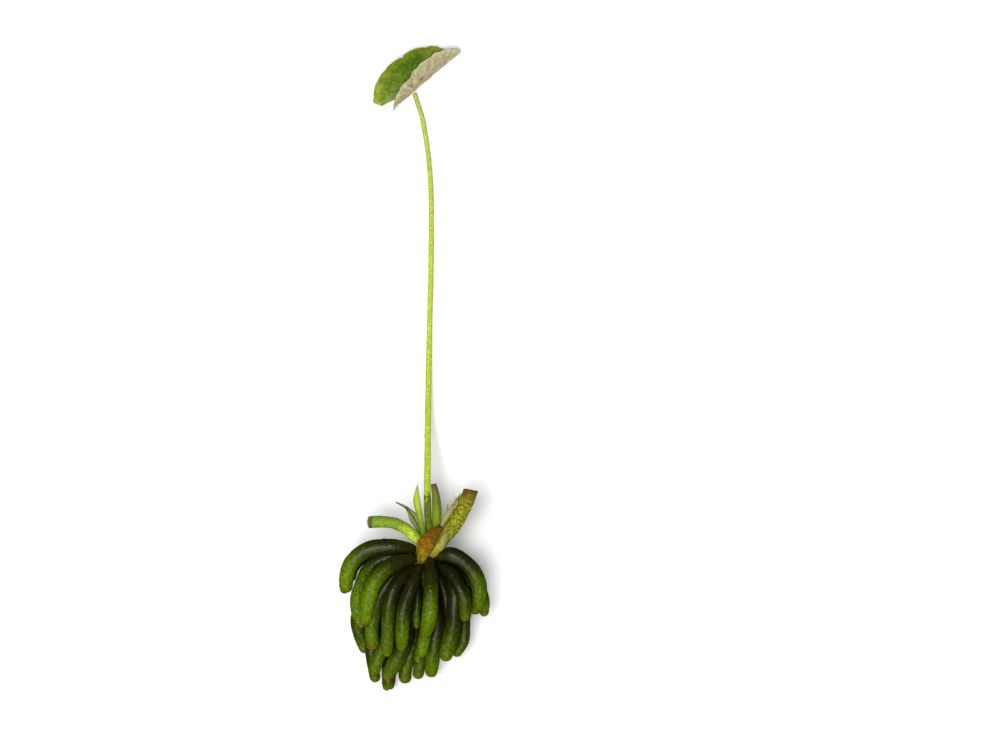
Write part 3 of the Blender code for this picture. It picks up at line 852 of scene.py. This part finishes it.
def old_sheath_finish(settings):
    """Dead skin, dark at both ends, with a golden foot, a rust-brown middle and paler patches; the dark by
    the crown is painted shade.
    """
    recipe = Recipe("old_sheath", Specular_IOR_Level=0.1)
    broad = recipe.noise(1.0 * MM, detail=4, roughness=0.65, distortion=0.5)
    fine = recipe.noise(0.3 * MM, detail=4, roughness=0.7)
    along = recipe.mark("along")
    body = recipe.ramp(
        recipe.sum(recipe.remap(along, -0.5, 1.0), recipe.remap(broad, 0.38, 0.62, -0.14, 0.14)),
        # The umber at the end by the crown, up to 0.12, is painted shade on the sheath's shaded foot
        (0.0, settings.umber),
        (0.12, settings.umber),
        (0.30, settings.ochre),
        (0.42, settings.ochre),
        (0.52, settings.rust),
        (0.74, settings.rust),
        (1.0, settings.umber),
    )
    pale = recipe.remap(recipe.noise(0.8 * MM, detail=3, place=recipe.shifted(2 * MM)), 0.54, 0.62, 0.0, 0.7)
    pale = recipe.times(pale, recipe.remap(along, 0.45, 0.8, 1.0, 0.15))
    body = recipe.mix(pale, body, settings.amber)
    body = recipe.toned(body, recipe.remap(fine, 0.38, 0.62, 0.60, 1.45))
    return recipe.finish(body, recipe.spread(broad, 0.5, 0.7), recipe.bump(fine, 0.08 * MM, 0.8))


class PLANT_OT_crown(bpy.types.Operator):
    """Makes the crown with its fibres"""

    bl_idname = "banana_plant.crown"
    bl_label = "Crown"

    def execute(self, context):
        settings = context.scene.banana_plant.crown
        placed("crown_core", crown_mesh(), [crown_finish(settings)], "crown", "crown")
        line = Line(rings_of("crown"))
        fibres = loose_fibres("crown_fibres", line, CROWN_SWELLING, settings.fibres, FIBRE_SEED, way=-1)
        placed("crown_fibres", fibres, [crown_finish(settings, "crown_fibre", redness=0.8)], "crown")
        return {"FINISHED"}


class PLANT_OT_sheaths(bpy.types.Operator):
    """Makes the dead orange-brown sheath, the pale base skin and the torn edge of the thick stalk"""

    bl_idname = "banana_plant.sheaths"
    bl_label = "Old sheaths"

    def execute(self, context):
        settings = context.scene.banana_plant.crown
        lump = Line(rings_of("old_sheath"))
        finish = old_sheath_finish(settings)
        placed("old_sheath_skin", old_sheath_mesh(lump), [finish], "old_sheath", "old_sheath")

        stalk = rings_of("right_cut_stalk")
        base = Line(np.vstack([BASE_SKIN_FOOT, stalk[stalk[:, 1] > BASE_SKIN_MEETS_STALK]]))
        mesh = flap("stalk_base_skin", base, 0.0, 9.6 * MM, 1.8, 1.10, UP_AND_LEFT, 2.0 * MM, 9, narrows=0.42)
        edge = (0.24, 0.25, 0.04)
        finish = skin_finish("pale_sheath", settings.cream, (0.150, 0.132, 0.018), edge, settings.amber)
        walled(placed("stalk_base_skin", mesh, [finish], "torn_sheath"), 0.10 * MM)

        torn = Line(rings_of("torn_sheath"))
        end = torn.length + 0.6 * MM
        mesh = flap("torn_sheath_skin", torn, -1.0 * MM, end, 1.5, 1.15, UP, 1.6 * MM, 13)
        finish = skin_finish("torn_sheath", (0.30, 0.28, 0.09), settings.straw, (0.22, 0.19, 0.05))
        walled(placed("torn_sheath_skin", mesh, [finish], "torn_sheath", "torn_sheath"), 0.08 * MM)
        placed("torn_sheath_fringe", torn_fringe(torn, settings.fringe), [finish], "torn_sheath")
        stick = fibre("torn_sheath_stick", STICK_PLACES, 0.18 * MM, 0.32 * MM)
        finish = skin_finish("dead_stick", settings.rust, settings.dark, settings.dark)
        placed("torn_sheath_stick", stick, [finish], "torn_sheath")

        fibres = loose_fibres("old_sheath_fibres", lump, swelling=1.05, count=26, seed=33, way=1)
        finish = crown_finish(settings, "old_sheath_fibre", redness=0.6)
        placed("old_sheath_fibres", fibres, [finish], "old_sheath")
        return {"FINISHED"}


# Stalks

# A stalk's skin: its faces around, the distance between its rings, its rings in a rounded end, and how deep
# its root goes
STALK_AROUND = 48
STALK_STEP = 0.32 * MM
STALK_END_RINGS = 6
STALK_ROOT = 1.6 * MM

# A cut end, from its rim to its middle: steps past the stalk's last ring, and shares of that ring's radius
CUT_STEPS = np.array((0.10, 0.16, 0.17, 0.10, -0.06, -0.16, -0.16, -0.12, -0.12)) * MM
CUT_SHARES = np.array((1.0, 0.97, 0.90, 0.82, 0.70, 0.52, 0.34, 0.16, 0.0))
SLANTED_LENGTH = 3 * MM


def stalk_profile(line, swelling, cut):
    """Distances and radii of a stalk's rings: a buried root, the body, and a cut or a domed end."""
    body = np.arange(0, line.length, STALK_STEP)
    radii = line.radius(body) * swelling
    root = round_end(0, STALK_ROOT, radii[0], STALK_END_RINGS, 0.5)
    if cut:
        end = (body[-1] + CUT_STEPS, radii[-1] * CUT_SHARES)
    else:
        end = round_end(body[-1], 0.8 * radii[-1], radii[-1], STALK_END_RINGS)
    return end_to_end(root, (body, radii), end)


def stalk_skin(name, node, ribs, pits, swelling, seed, cut=True, slant=0.0, slant_turn=0.0):
    """A stalk with soft lengthwise ribs and fine pits, and its cut end slanted by the length given."""
    line = Line(rings_of(node))
    distances, radii = stalk_profile(line, swelling, cut)
    first_cut = distances[-len(CUT_STEPS)]

    def relief(spot):
        calm = ease(spot.radius / (0.5 * radii.max()))
        lift = ribs * np.cos(5 * spot.turn + seed) * radii.max() + pits * uneven(spot.place, 0.6 * MM, seed)
        lift += 1.6 * pits * uneven(spot.place, 1.9 * MM, seed + 3)
        near_end = ease((spot.distance - line.length + SLANTED_LENGTH) / SLANTED_LENGTH)
        forward = slant * np.cos(spot.turn - slant_turn) * near_end * spot.radius / radii.max()
        forward = forward + 0.10 * MM * uneven(spot.place, 0.5 * MM, seed + 9) * (spot.share > 0.97)
        return lift * calm, forward

    def marks(spot):
        if cut:
            pith = (spot.radius < 0.93 * line.radius(line.length)) & (spot.share > 0.5)
        else:
            # A stalk with a leaf has the pith's colour only on its buried root
            pith = spot.share < 0
        rim = ease((spot.distance - first_cut + 0.4 * MM) / (0.5 * MM)) * cut
        return {"along": spot.share, "cut": np.where(pith, 1.0, 0.0), "rim": rim}

    return skin(name, line, distances, radii, STALK_AROUND, marks, relief)


def stalk_finish(name, stops, speck, specks, cut_colour, rim_colour, mottle=0.3, size=0.8 * MM):
    """Moist stalk skin with fine mottling, specks and a dried cut end. stops are colours along the stalk."""
    recipe = Recipe(name, Specular_IOR_Level=0.12)
    fine = recipe.noise(0.6 * size, detail=3, roughness=0.7)
    broad = recipe.noise(3 * size, detail=3)
    reach = recipe.sum(recipe.mark("along"), recipe.spread(broad, -0.03, 0.03))
    body = recipe.ramp(reach, *stops)
    body = recipe.toned(body, recipe.remap(fine, 0.38, 0.62, 1 - mottle, 1 + 0.6 * mottle))
    patches = recipe.noise(0.7 * size, detail=4, roughness=0.75, place=recipe.shifted(size))
    body = recipe.mix(recipe.remap(patches, 0.48, 0.58, 0.0, specks), body, speck)
    body = recipe.mix(recipe.times(recipe.mark("rim"), 0.85), body, rim_colour)
    pith = recipe.mix(recipe.remap(fine, 0.35, 0.65), cut_colour, tuple(0.55 * c for c in cut_colour))
    body = recipe.mix(recipe.mark("cut"), body, pith)
    return recipe.finish(body, recipe.spread(broad, 0.34, 0.5), recipe.bump(fine, 0.06 * MM, 0.7))


class PLANT_OT_leaf_stalk(bpy.types.Operator):
    """Makes the long stalk that carries the leaf"""

    bl_idname = "banana_plant.leaf_stalk"
    bl_label = "Leaf stalk"

    def execute(self, context):
        settings = context.scene.banana_plant.stalks
        foot, bright = settings.foot, settings.bright
        far = (0.42, 0.50, 0.09)
        stops = ((0.0, foot), (0.080, foot), (0.094, bright), (0.7, bright), (1.0, far))
        finish = stalk_finish(
            "leaf_stalk_skin", stops, settings.green, 0.6, settings.cut, bright, mottle=0.42, size=0.7 * MM
        )
        mesh = stalk_skin("leaf_stem", "leaf_stalk", 0.03, 0.045 * MM, 1.02, seed=2, cut=False)
        placed("leaf_stem", mesh, [finish], "leaf_stalk", "leaf_stalk")
        return {"FINISHED"}


class PLANT_OT_cut_stalks(bpy.types.Operator):
    """Makes the three cut stalks"""

    bl_idname = "banana_plant.cut_stalks"
    bl_label = "Cut stalks"

    def execute(self, context):
        settings = context.scene.banana_plant.stalks
        green, olive, fresh, foot = settings.green, settings.olive, settings.fresh, settings.foot
        cut, rim = settings.cut, settings.rim

        stops = ((0.0, fresh), (0.22, fresh), (0.52, green), (1.0, green))
        finish = stalk_finish("left_stalk_skin", stops, foot, 0.5, cut, rim, mottle=0.4)
        mesh = stalk_skin(
            "left_cut_stem", "left_cut_stalk", 0.02, 0.05 * MM, 1.04, 4, slant=0.7 * MM, slant_turn=math.pi
        )
        placed("left_cut_stem", mesh, [finish], "cut_stalk", "left_cut_stalk")

        stops = (
            (0.0, fresh),
            (0.15, (0.235, 0.32, 0.005)),
            (0.4, (0.21, 0.295, 0.005)),
            (0.66, (0.11, 0.165, 0.008)),
            (0.85, (0.175, 0.13, 0.032)),
            (1.0, (0.10, 0.065, 0.018)),
        )
        finish = stalk_finish("middle_stalk_skin", stops, foot, 0.5, cut, rim)
        mesh = stalk_skin("middle_cut_stem", "middle_cut_stalk", 0.03, 0.05 * MM, 1.08, 5)
        placed("middle_cut_stem", mesh, [finish], "cut_stalk", "middle_cut_stalk")

        stops = (
            (0.0, (0.25, 0.26, 0.04)),
            (0.28, olive),
            (0.8, olive),
            (0.93, (0.17, 0.14, 0.006)),
            (1.0, (0.13, 0.07, 0.008)),
        )
        speck = settings.speck
        finish = stalk_finish("right_stalk_skin", stops, speck, 0.9, cut, rim, mottle=0.62, size=0.72 * MM)
        mesh = stalk_skin(
            "right_cut_stem", "right_cut_stalk", 0.02, 0.09 * MM, 1.03, 6, slant=0.5 * MM, slant_turn=1.2
        )
        placed("right_cut_stem", mesh, [finish], "olive_stalk", "right_cut_stalk")
        return {"FINISHED"}


# Young leaf and dried leaf

# A rolled leaf's faces around and the distance between its rings, and the thread at the young leaf's tip
ROLL_AROUND = 48
ROLL_STEP = 0.2 * MM
YOUNG_LEAF_THREAD = np.array(((0.52, -32.9, 18.3), (0.75, -31.8, 18.4), (0.93, -30.6, 18.6))) * MM


def rolled_leaf(name, node, step_height, flatness, wrinkle, twist, seed, breadth, breadth_at, swelling=1.08):
    """A leaf rolled round itself: its free edge makes a step that winds along it.

    Heights are in radii of its solid, and it is broadest at the share of its length in breadth_at.
    """
    line = Line(rings_of(node))
    body = np.arange(0, line.length, ROLL_STEP)
    radii = line.radius(body) * swelling
    root = round_end(0, 1.2 * MM, radii[0], 5, 0.5)
    end = round_end(body[-1], 0.3 * MM, radii[-1], 4)
    distances, radii = end_to_end(root, (body, radii), end)

    def seam_of(spot):
        return (spot.turn + twist * spot.share * 2 * math.pi) / (2 * math.pi) % 1

    def relief(spot):
        seam = seam_of(spot)
        step = step_height * (seam - 0.5 + ease((0.06 - seam) / 0.06))
        hump = np.exp(-(((spot.share - breadth_at) / 0.22) ** 2))
        squash = breadth * hump * np.sin(spot.turn) ** 2 - flatness * np.cos(spot.turn) ** 2
        rough = wrinkle * uneven(spot.place, 0.7 * MM, seed)
        rough = rough + 0.6 * wrinkle * uneven(spot.place, 0.3 * MM, seed)
        return (step + squash + rough) * spot.radius, 0.0

    def marks(spot):
        seam = seam_of(spot)
        return {"along": spot.share, "seam": 1 - ease(np.minimum(seam, 1 - seam) / 0.07)}

    return skin(name, line, distances, radii, ROLL_AROUND, marks, relief)


def rolled_finish(name, stops, seam_colour, mottle):
    """Soft skin in colours along the leaf, with a darker or lighter free edge."""
    recipe = Recipe(name, Specular_IOR_Level=0.2)
    fine = recipe.noise(0.3 * MM, detail=3, roughness=0.7)
    body = recipe.ramp(recipe.mark("along"), *stops)
    body = recipe.toned(body, recipe.spread(fine, 1 - mottle, 1 + mottle))
    body = recipe.mix(recipe.times(recipe.mark("seam"), 0.75), body, seam_colour)
    return recipe.finish(body, recipe.spread(fine, 0.35, 0.55), recipe.bump(fine, 0.06 * MM, 0.6))


class PLANT_OT_small_leaves(bpy.types.Operator):
    """Makes the rolled young leaf with its thread, and the dried leaf"""

    bl_idname = "banana_plant.small_leaves"
    bl_label = "Young and dried leaf"

    def execute(self, context):
        dried = context.scene.banana_plant.stalks.dried
        light = (0.32, 0.42, 0.018)
        stops = (
            (0.0, (0.10, 0.18, 0.004)),
            (0.35, (0.17, 0.27, 0.008)),
            (0.7, light),
            (0.93, light),
            (1.0, (0.2, 0.22, 0.06)),
        )
        finish = rolled_finish("young_leaf_skin", stops, (0.10, 0.17, 0.004), 0.25)
        mesh = rolled_leaf(
            "young_leaf", "leaf_bud", 0.22, 0.1, 0.05, 0.25, 3, breadth=0.34, breadth_at=0.8, swelling=0.94
        )
        placed("young_leaf", mesh, [finish], "leaf_stalk", "leaf_bud")

        dull = (0.2, 0.2, 0.05)
        finish = rolled_finish("thread_skin", ((0.0, dull), (1.0, dull)), light, 0.2)
        thread = fibre("young_leaf_thread", YOUNG_LEAF_THREAD, 0.05 * MM, 0.26 * MM)
        placed("young_leaf_thread", thread, [finish], "leaf_stalk")

        stops = (
            (0.0, (0.13, 0.17, 0.03)),
            (0.4, dried),
            (0.62, dried),
            (0.72, (0.07, 0.08, 0.02)),
            (1.0, (0.14, 0.13, 0.06)),
        )
        finish = rolled_finish("dried_leaf_skin", stops, (0.04, 0.05, 0.015), 0.4)
        mesh = rolled_leaf(
            "shrivelled_leaf", "dried_leaf", 0.4, 0.45, 0.22, 0.1, 8, breadth=0.75, breadth_at=0.48
        )
        placed("shrivelled_leaf", mesh, [finish], "dried_leaf", "dried_leaf")
        return {"FINISHED"}


# Leaf

# The flat blade, as in its solid: where its joint lies from the stalk's end, where its midrib heads, and how
# far its margin reaches from the joint, as (bearing from the midrib in degrees, millimetres), in each half
LEAF_JOINT_AHEAD = Vector((-0.3 * MM, 1.0 * MM))
LEAF_HEADING = math.radians(39)
LOW_HALF_REACH = (
    (0, 16.4), (8, 15.2), (14, 14.0), (23, 13.5), (34, 12.8), (48, 12.1), (61, 11.8), (68, 11.5), (72, 10.9),
    (77, 11.2), (85, 11.2), (97, 11.1), (110, 10.9), (126, 10.8), (143, 10.9), (158, 11.3), (167, 9.6),
)
FLAP_REACH = (
    (0, 16.4), (6, 16.8), (12, 16.5), (22, 15.5), (34, 14.4), (50, 12.9), (65, 12.0), (80, 11.4), (100, 11.1),
    (120, 10.4), (140, 9.4), (155, 8.5), (167, 7.4),
)
LEAF_SINUS = math.radians(167)
LEAF_FIRST_SHARE = 0.03

# Its faces from the joint to the margin and round it
LEAF_RADIAL_STEPS = 60
LEAF_TURN_STEPS = 260

# Its fold, in degrees. Each half curls by this much over CURL_REACH. The flap starts upright, at a smaller
# angle for each millimetre along the midrib, and curls back more for each one behind the joint
LEAF_RIB_HEIGHT = 0.4 * MM
CURL_REACH = 11.5 * MM
LOW_HALF_CURL = 62
FLAP_START = 97
FLAP_START_DROP = 1.6
FLAP_CURL = -45
FLAP_CURL_BACK = 2.5

# The bearings of its veins, in degrees, and the breadth over which its streaks are drawn
VEIN_BEARINGS = (0, 20, 41, 64, 90, 120, 150)
FAN_BREADTH = 12 * MM


def leaf_reach(bearing):
    """The blade's margin, as its distance from the stalk's joint."""
    low_half = bearing > 0
    bearings, reaches = zip(*(LOW_HALF_REACH if low_half else FLAP_REACH))
    angle = abs(math.degrees(bearing))
    row = 3.0 if low_half else 9.0
    nick = 0.30 * noise.noise((angle / 7, row, 0.0)) + 0.16 * noise.noise((angle / 2.2, row, 4.0))
    if low_half:
        nick -= 0.5 * math.exp(-(((angle - 72.5) / 1.6) ** 2))
    return (float(np.interp(angle, bearings, reaches)) + nick) * MM


def folded(joint, along, across, lift):
    """The place of a point of the flat blade once it is folded, raised from the upper face by lift."""
    if across >= 0:
        start = 0.0
        curl = LOW_HALF_CURL
    else:
        start = FLAP_START - FLAP_START_DROP * along / MM
        curl = FLAP_CURL - FLAP_CURL_BACK * max(0.0, -along / MM)
    start = math.radians(start)
    bend = math.radians(curl) / CURL_REACH
    end = start + bend * abs(across)
    sideways = (math.sin(end) - math.sin(start)) / bend
    height = (math.cos(start) - math.cos(end)) / bend
    face = 1 if across >= 0 else -1
    sideways -= face * lift * math.sin(end)
    height += face * lift * math.cos(end)
    x = joint.x + along * math.cos(LEAF_HEADING) - sideways * math.sin(LEAF_HEADING)
    y = joint.y + along * math.sin(LEAF_HEADING) + sideways * math.cos(LEAF_HEADING)
    return Vector((x, y, LEAF_RIB_HEIGHT + height))


def vein_strength(bearing, distance, share):
    """How near a point of the blade is to one of the veins that fan out from the joint."""
    angle = abs(math.degrees(bearing)) + 5 * share * share
    gap = min(abs(angle - vein) for vein in VEIN_BEARINGS)
    width = 0.22 * MM * (1.1 - 0.8 * share)
    off = math.radians(gap) * distance
    return math.exp(-((off / width) ** 2)) * (1 - 0.6 * share)


def leaf_mesh(joint):
    """The blade: spokes from its joint to its margin, spun flat and then folded, with its waves and veins."""
    form = bmesh.new()
    shares = np.linspace(LEAF_FIRST_SHARE, 1, LEAF_RADIAL_STEPS + 1)
    spoke = [form.verts.new((share, 0, 0)) for share in shares]
    edges = [form.edges.new(pair) for pair in zip(spoke, spoke[1:])]
    bmesh.ops.rotate(form, verts=spoke, cent=(0, 0, 0), matrix=Matrix.Rotation(-LEAF_SINUS, 3, "Z"))
    bmesh.ops.spin(
        form,
        geom=spoke + edges,
        cent=(0, 0, 0),
        axis=(0, 0, 1),
        angle=2 * LEAF_SINUS,
        steps=LEAF_TURN_STEPS,
        use_merge=False,
    )
    bmesh.ops.remove_doubles(form, verts=form.verts, dist=MERGE_DISTANCE)
    layers = {name: form.verts.layers.float.new(name) for name in ("share", "vein", "flap", "back", "fan")}
    for corner in form.verts:
        bearing = math.atan2(corner.co.y, corner.co.x)
        share = corner.co.xy.length
        distance = share * leaf_reach(bearing)
        flat = Vector((distance * math.cos(bearing), distance * math.sin(bearing), 0.0))
        vein = vein_strength(bearing, distance, share)
        wave = 0.24 * MM * noise.noise(flat / (3.4 * MM))
        wave += 0.45 * MM * share**3 * noise.noise(flat / (2.2 * MM) + Vector((5, 5, 5)))
        quilt = 0.08 * MM * noise.noise(flat / (0.75 * MM))
        if bearing < 0:
            quilt += 0.35 * MM * ease((flat.x - 10 * MM) / (5 * MM)) * noise.noise(flat / (1.1 * MM))
        back = 0.5 - 0.5 * math.cos(bearing)
        values = {"share": share, "vein": vein, "flap": float(bearing < 0), "back": back, "fan": bearing}
        for name, value in values.items():
            corner[layers[name]] = value
        place = folded(joint, flat.x, flat.y, (wave + quilt) * ease(share / 0.3) - 0.09 * MM * vein)
        place.z = max(place.z, 0.2 * MM)
        corner.co = place
    form.normal_update()
    low_half = [face for face in form.faces if all(corner[layers["flap"]] == 0 for corner in face.verts)]
    if sum(face.normal.z * face.calc_area() for face in low_half) < 0:
        bmesh.ops.reverse_faces(form, faces=form.faces)
    return as_mesh("leaf_blade", form)


def fan_streaks(recipe, size):
    """Noise drawn out along the blade's spokes."""
    turn = recipe.times(recipe.mark("fan"), FAN_BREADTH)
    out = recipe.times(recipe.mark("share"), FAN_BREADTH / 4)
    place = recipe.node("ShaderNodeCombineXYZ", {0: turn, 1: out, 2: 0.0}).outputs[0]
    return recipe.noise(size, detail=3, roughness=0.65, place=place)


def leaf_upper_finish(settings):
    """Satin green, mottled, yellower towards the margin and the lower lobes."""
    recipe = Recipe("leaf_upper_skin", Specular_IOR_Level=0.3)
    broad = recipe.noise(3.2 * MM, detail=4, distortion=0.4)
    fine = recipe.noise(0.6 * MM, detail=4, roughness=0.7)
    share = recipe.mark("share")
    edge = recipe.remap(share, 0.66, 1.0, 0.0, 0.70)
    lobe = recipe.remap(recipe.mark("back"), 0.45, 1.0, 0.0, 0.30)
    yellowing = recipe.sum(recipe.sum(edge, lobe), recipe.remap(broad, 0.38, 0.62, -0.30, 0.40))
    body = recipe.mix(recipe.remap(yellowing, 0.14, 0.95), settings.upper, settings.yellow)
    body = recipe.toned(body, recipe.remap(fine, 0.35, 0.65, 0.66, 1.34))
    streaks = fan_streaks(recipe, 0.7 * MM)
    body = recipe.mix(recipe.remap(streaks, 0.50, 0.64, 0.0, 0.6), body, (0.22, 0.30, 0.05))
    body = recipe.mix(recipe.times(recipe.mark("vein"), 0.5), body, (0.13, 0.22, 0.03))
    rusty = recipe.remap(recipe.noise(1.3 * MM, detail=4, roughness=0.7), 0.56, 0.68, 0.0, 0.5)
    body = recipe.mix(rusty, body, (0.17, 0.13, 0.01))
    body = recipe.mix(recipe.remap(share, 0.965, 1.0, 0.0, 0.35), body, settings.margin)
    return recipe.finish(body, recipe.spread(broad, 0.36, 0.52), recipe.bump(fine, 0.08 * MM, 0.8))


def leaf_under_finish(settings):
    """Pinkish beige, finely pitted, with the veins a little paler."""
    recipe = Recipe("leaf_under_skin", Specular_IOR_Level=0.3)
    broad = recipe.noise(2.6 * MM, detail=4)
    fine = recipe.noise(0.42 * MM, detail=4, roughness=0.75)
    body = recipe.mix(recipe.remap(broad, 0.40, 0.62), settings.under, (0.470, 0.410, 0.210))
    body = recipe.toned(body, recipe.remap(fine, 0.38, 0.62, 0.62, 1.38))
    body = recipe.toned(body, recipe.remap(fan_streaks(recipe, 0.9 * MM), 0.36, 0.64, 0.70, 1.20))
    body = recipe.mix(recipe.times(recipe.mark("vein"), 0.5), body, (0.50, 0.45, 0.30))
    spots = recipe.remap(recipe.noise(2.1 * MM, detail=2, place=recipe.shifted(3 * MM)), 0.62, 0.68, 0.0, 0.6)
    body = recipe.mix(spots, body, (0.20, 0.13, 0.02))
    outer = recipe.sum(recipe.mark("share"), recipe.remap(fine, 0.4, 0.6, -0.03, 0.03))
    body = recipe.mix(recipe.remap(outer, 0.92, 0.98, 0.0, 0.8), body, (0.50, 0.50, 0.33))
    return recipe.finish(body, recipe.spread(broad, 0.42, 0.6), recipe.bump(fine, 0.09 * MM, 0.9))


def leaf_margin_finish(settings):
    """The blade's thin edge, paler on the flap."""
    recipe = Recipe("leaf_margin_skin", Specular_IOR_Level=0.3)
    fine = recipe.noise(0.6 * MM, detail=3)
    dark = recipe.mix(recipe.remap(fine, 0.4, 0.6), settings.margin, (0.24, 0.27, 0.02))
    body = recipe.mix(recipe.times(recipe.mark("flap"), 0.8), dark, (0.30, 0.32, 0.13))
    return recipe.finish(body, recipe.spread(fine, 0.4, 0.6), recipe.bump(fine, 0.05 * MM, 0.5))


class PLANT_OT_leaf(bpy.types.Operator):
    """Makes the round leaf, folded along its midrib"""

    bl_idname = "banana_plant.leaf"
    bl_label = "Leaf"

    def execute(self, context):
        settings = context.scene.banana_plant.leaf
        joint = Vector(rings_of("leaf_stalk")[-1][:2]) + LEAF_JOINT_AHEAD
        finishes = [leaf_upper_finish(settings), leaf_under_finish(settings), leaf_margin_finish(settings)]
        piece = placed("leaf_blade", leaf_mesh(joint), finishes, "leaf", "leaf")
        walled(piece, settings.thickness, material_offset=1)
        return {"FINISHED"}


# Stage

# The camera looks straight down from VIEW_DISTANCE above this centre, where the view is PHOTO_WIDTH wide:
# the photograph's 1000 pixels at 0.27 mm each
VIEW_CENTRE = Vector((23.08 * MM, -2.06 * MM, 15 * MM))
VIEW_DISTANCE = 3.0
PHOTO_WIDTH = 0.270
SENSOR_WIDTH = 36.0
LIT_PLACE = Vector((0, -0.03, 0))


def soft_light(name, place, size, watts):
    """A square light that faces the tubers' half of the plant."""
    light = bpy.data.lights.new(name, "AREA")
    light.shape = "SQUARE"
    light.size = size
    light.energy = watts
    lamp = shown(name, light)
    lamp.location = place
    lamp.rotation_mode = "QUATERNION"
    lamp.rotation_quaternion = (LIT_PLACE - lamp.location).to_track_quat("-Z", "Y")


class PLANT_OT_stage(bpy.types.Operator):
    """Lays the pale floor and sets the light and the camera"""

    bl_idname = "banana_plant.stage"
    bl_label = "Stage"

    def execute(self, context):
        settings = context.scene.banana_plant.stage
        form = bmesh.new()
        bmesh.ops.create_grid(form, x_segments=4, y_segments=4, size=3)
        floor = shown("floor", as_mesh("floor", form))
        floor.visible_glossy = False
        recipe = Recipe("floor_paint", Roughness=0.6, Specular_IOR_Level=0.2)
        faint = recipe.grey(recipe.remap(recipe.noise(0.4, detail=2), 0.0, 1.0, 0.99, 1.01))
        floor.data.materials.append(recipe.finish(recipe.mix(1.0, faint, settings.floor, "MULTIPLY")))

        world = bpy.data.worlds.new("surroundings")
        world.use_nodes = True
        background = world.node_tree.nodes["Background"]
        background.inputs["Color"].default_value = (1.0, 1.0, 1.0, 1.0)
        background.inputs["Strength"].default_value = settings.surroundings
        world.cycles_visibility.glossy = False
        context.scene.world = world
        soft_light("overhead_light", (-0.5, -0.2, 3.3), 1.35, settings.overhead)
        soft_light("near_light", (-0.25, -1.1, 1.0), 0.5, settings.near)

        camera = bpy.data.cameras.new("camera")
        camera.sensor_width = SENSOR_WIDTH
        camera.lens = SENSOR_WIDTH * VIEW_DISTANCE / PHOTO_WIDTH
        eye = shown("camera", camera)
        eye.location = VIEW_CENTRE + Vector((0, 0, VIEW_DISTANCE))
        context.scene.camera = eye
        context.scene.view_settings.view_transform = "Standard"
        return {"FINISHED"}


OPERATORS = (
    PLANT_OT_tubers,
    PLANT_OT_crown,
    PLANT_OT_sheaths,
    PLANT_OT_leaf_stalk,
    PLANT_OT_cut_stalks,
    PLANT_OT_small_leaves,
    PLANT_OT_leaf,
    PLANT_OT_stage,
)


class PLANT_PT_panel(bpy.types.Panel):
    """Lists the plant's operators"""

    bl_idname = "PLANT_PT_panel"
    bl_label = "Banana plant"
    bl_space_type = "VIEW_3D"
    bl_region_type = "UI"
    bl_category = "Banana plant"

    def draw(self, context):
        for operator in OPERATORS:
            self.layout.operator(operator.bl_idname)


CLASSES = (
    TuberSettings,
    CrownSettings,
    StalkSettings,
    LeafSettings,
    StageSettings,
    PlantSettings,
    *OPERATORS,
    PLANT_PT_panel,
)


def register():
    for made in CLASSES:
        bpy.utils.register_class(made)
    bpy.types.Scene.banana_plant = PointerProperty(type=PlantSettings)


def unregister():
    del bpy.types.Scene.banana_plant
    for made in reversed(CLASSES):
        bpy.utils.unregister_class(made)


def main():
    register()
    for operator in OPERATORS:
        family, name = operator.bl_idname.split(".")
        getattr(getattr(bpy.ops, family), name)()


if __name__ == "__main__":
    main()
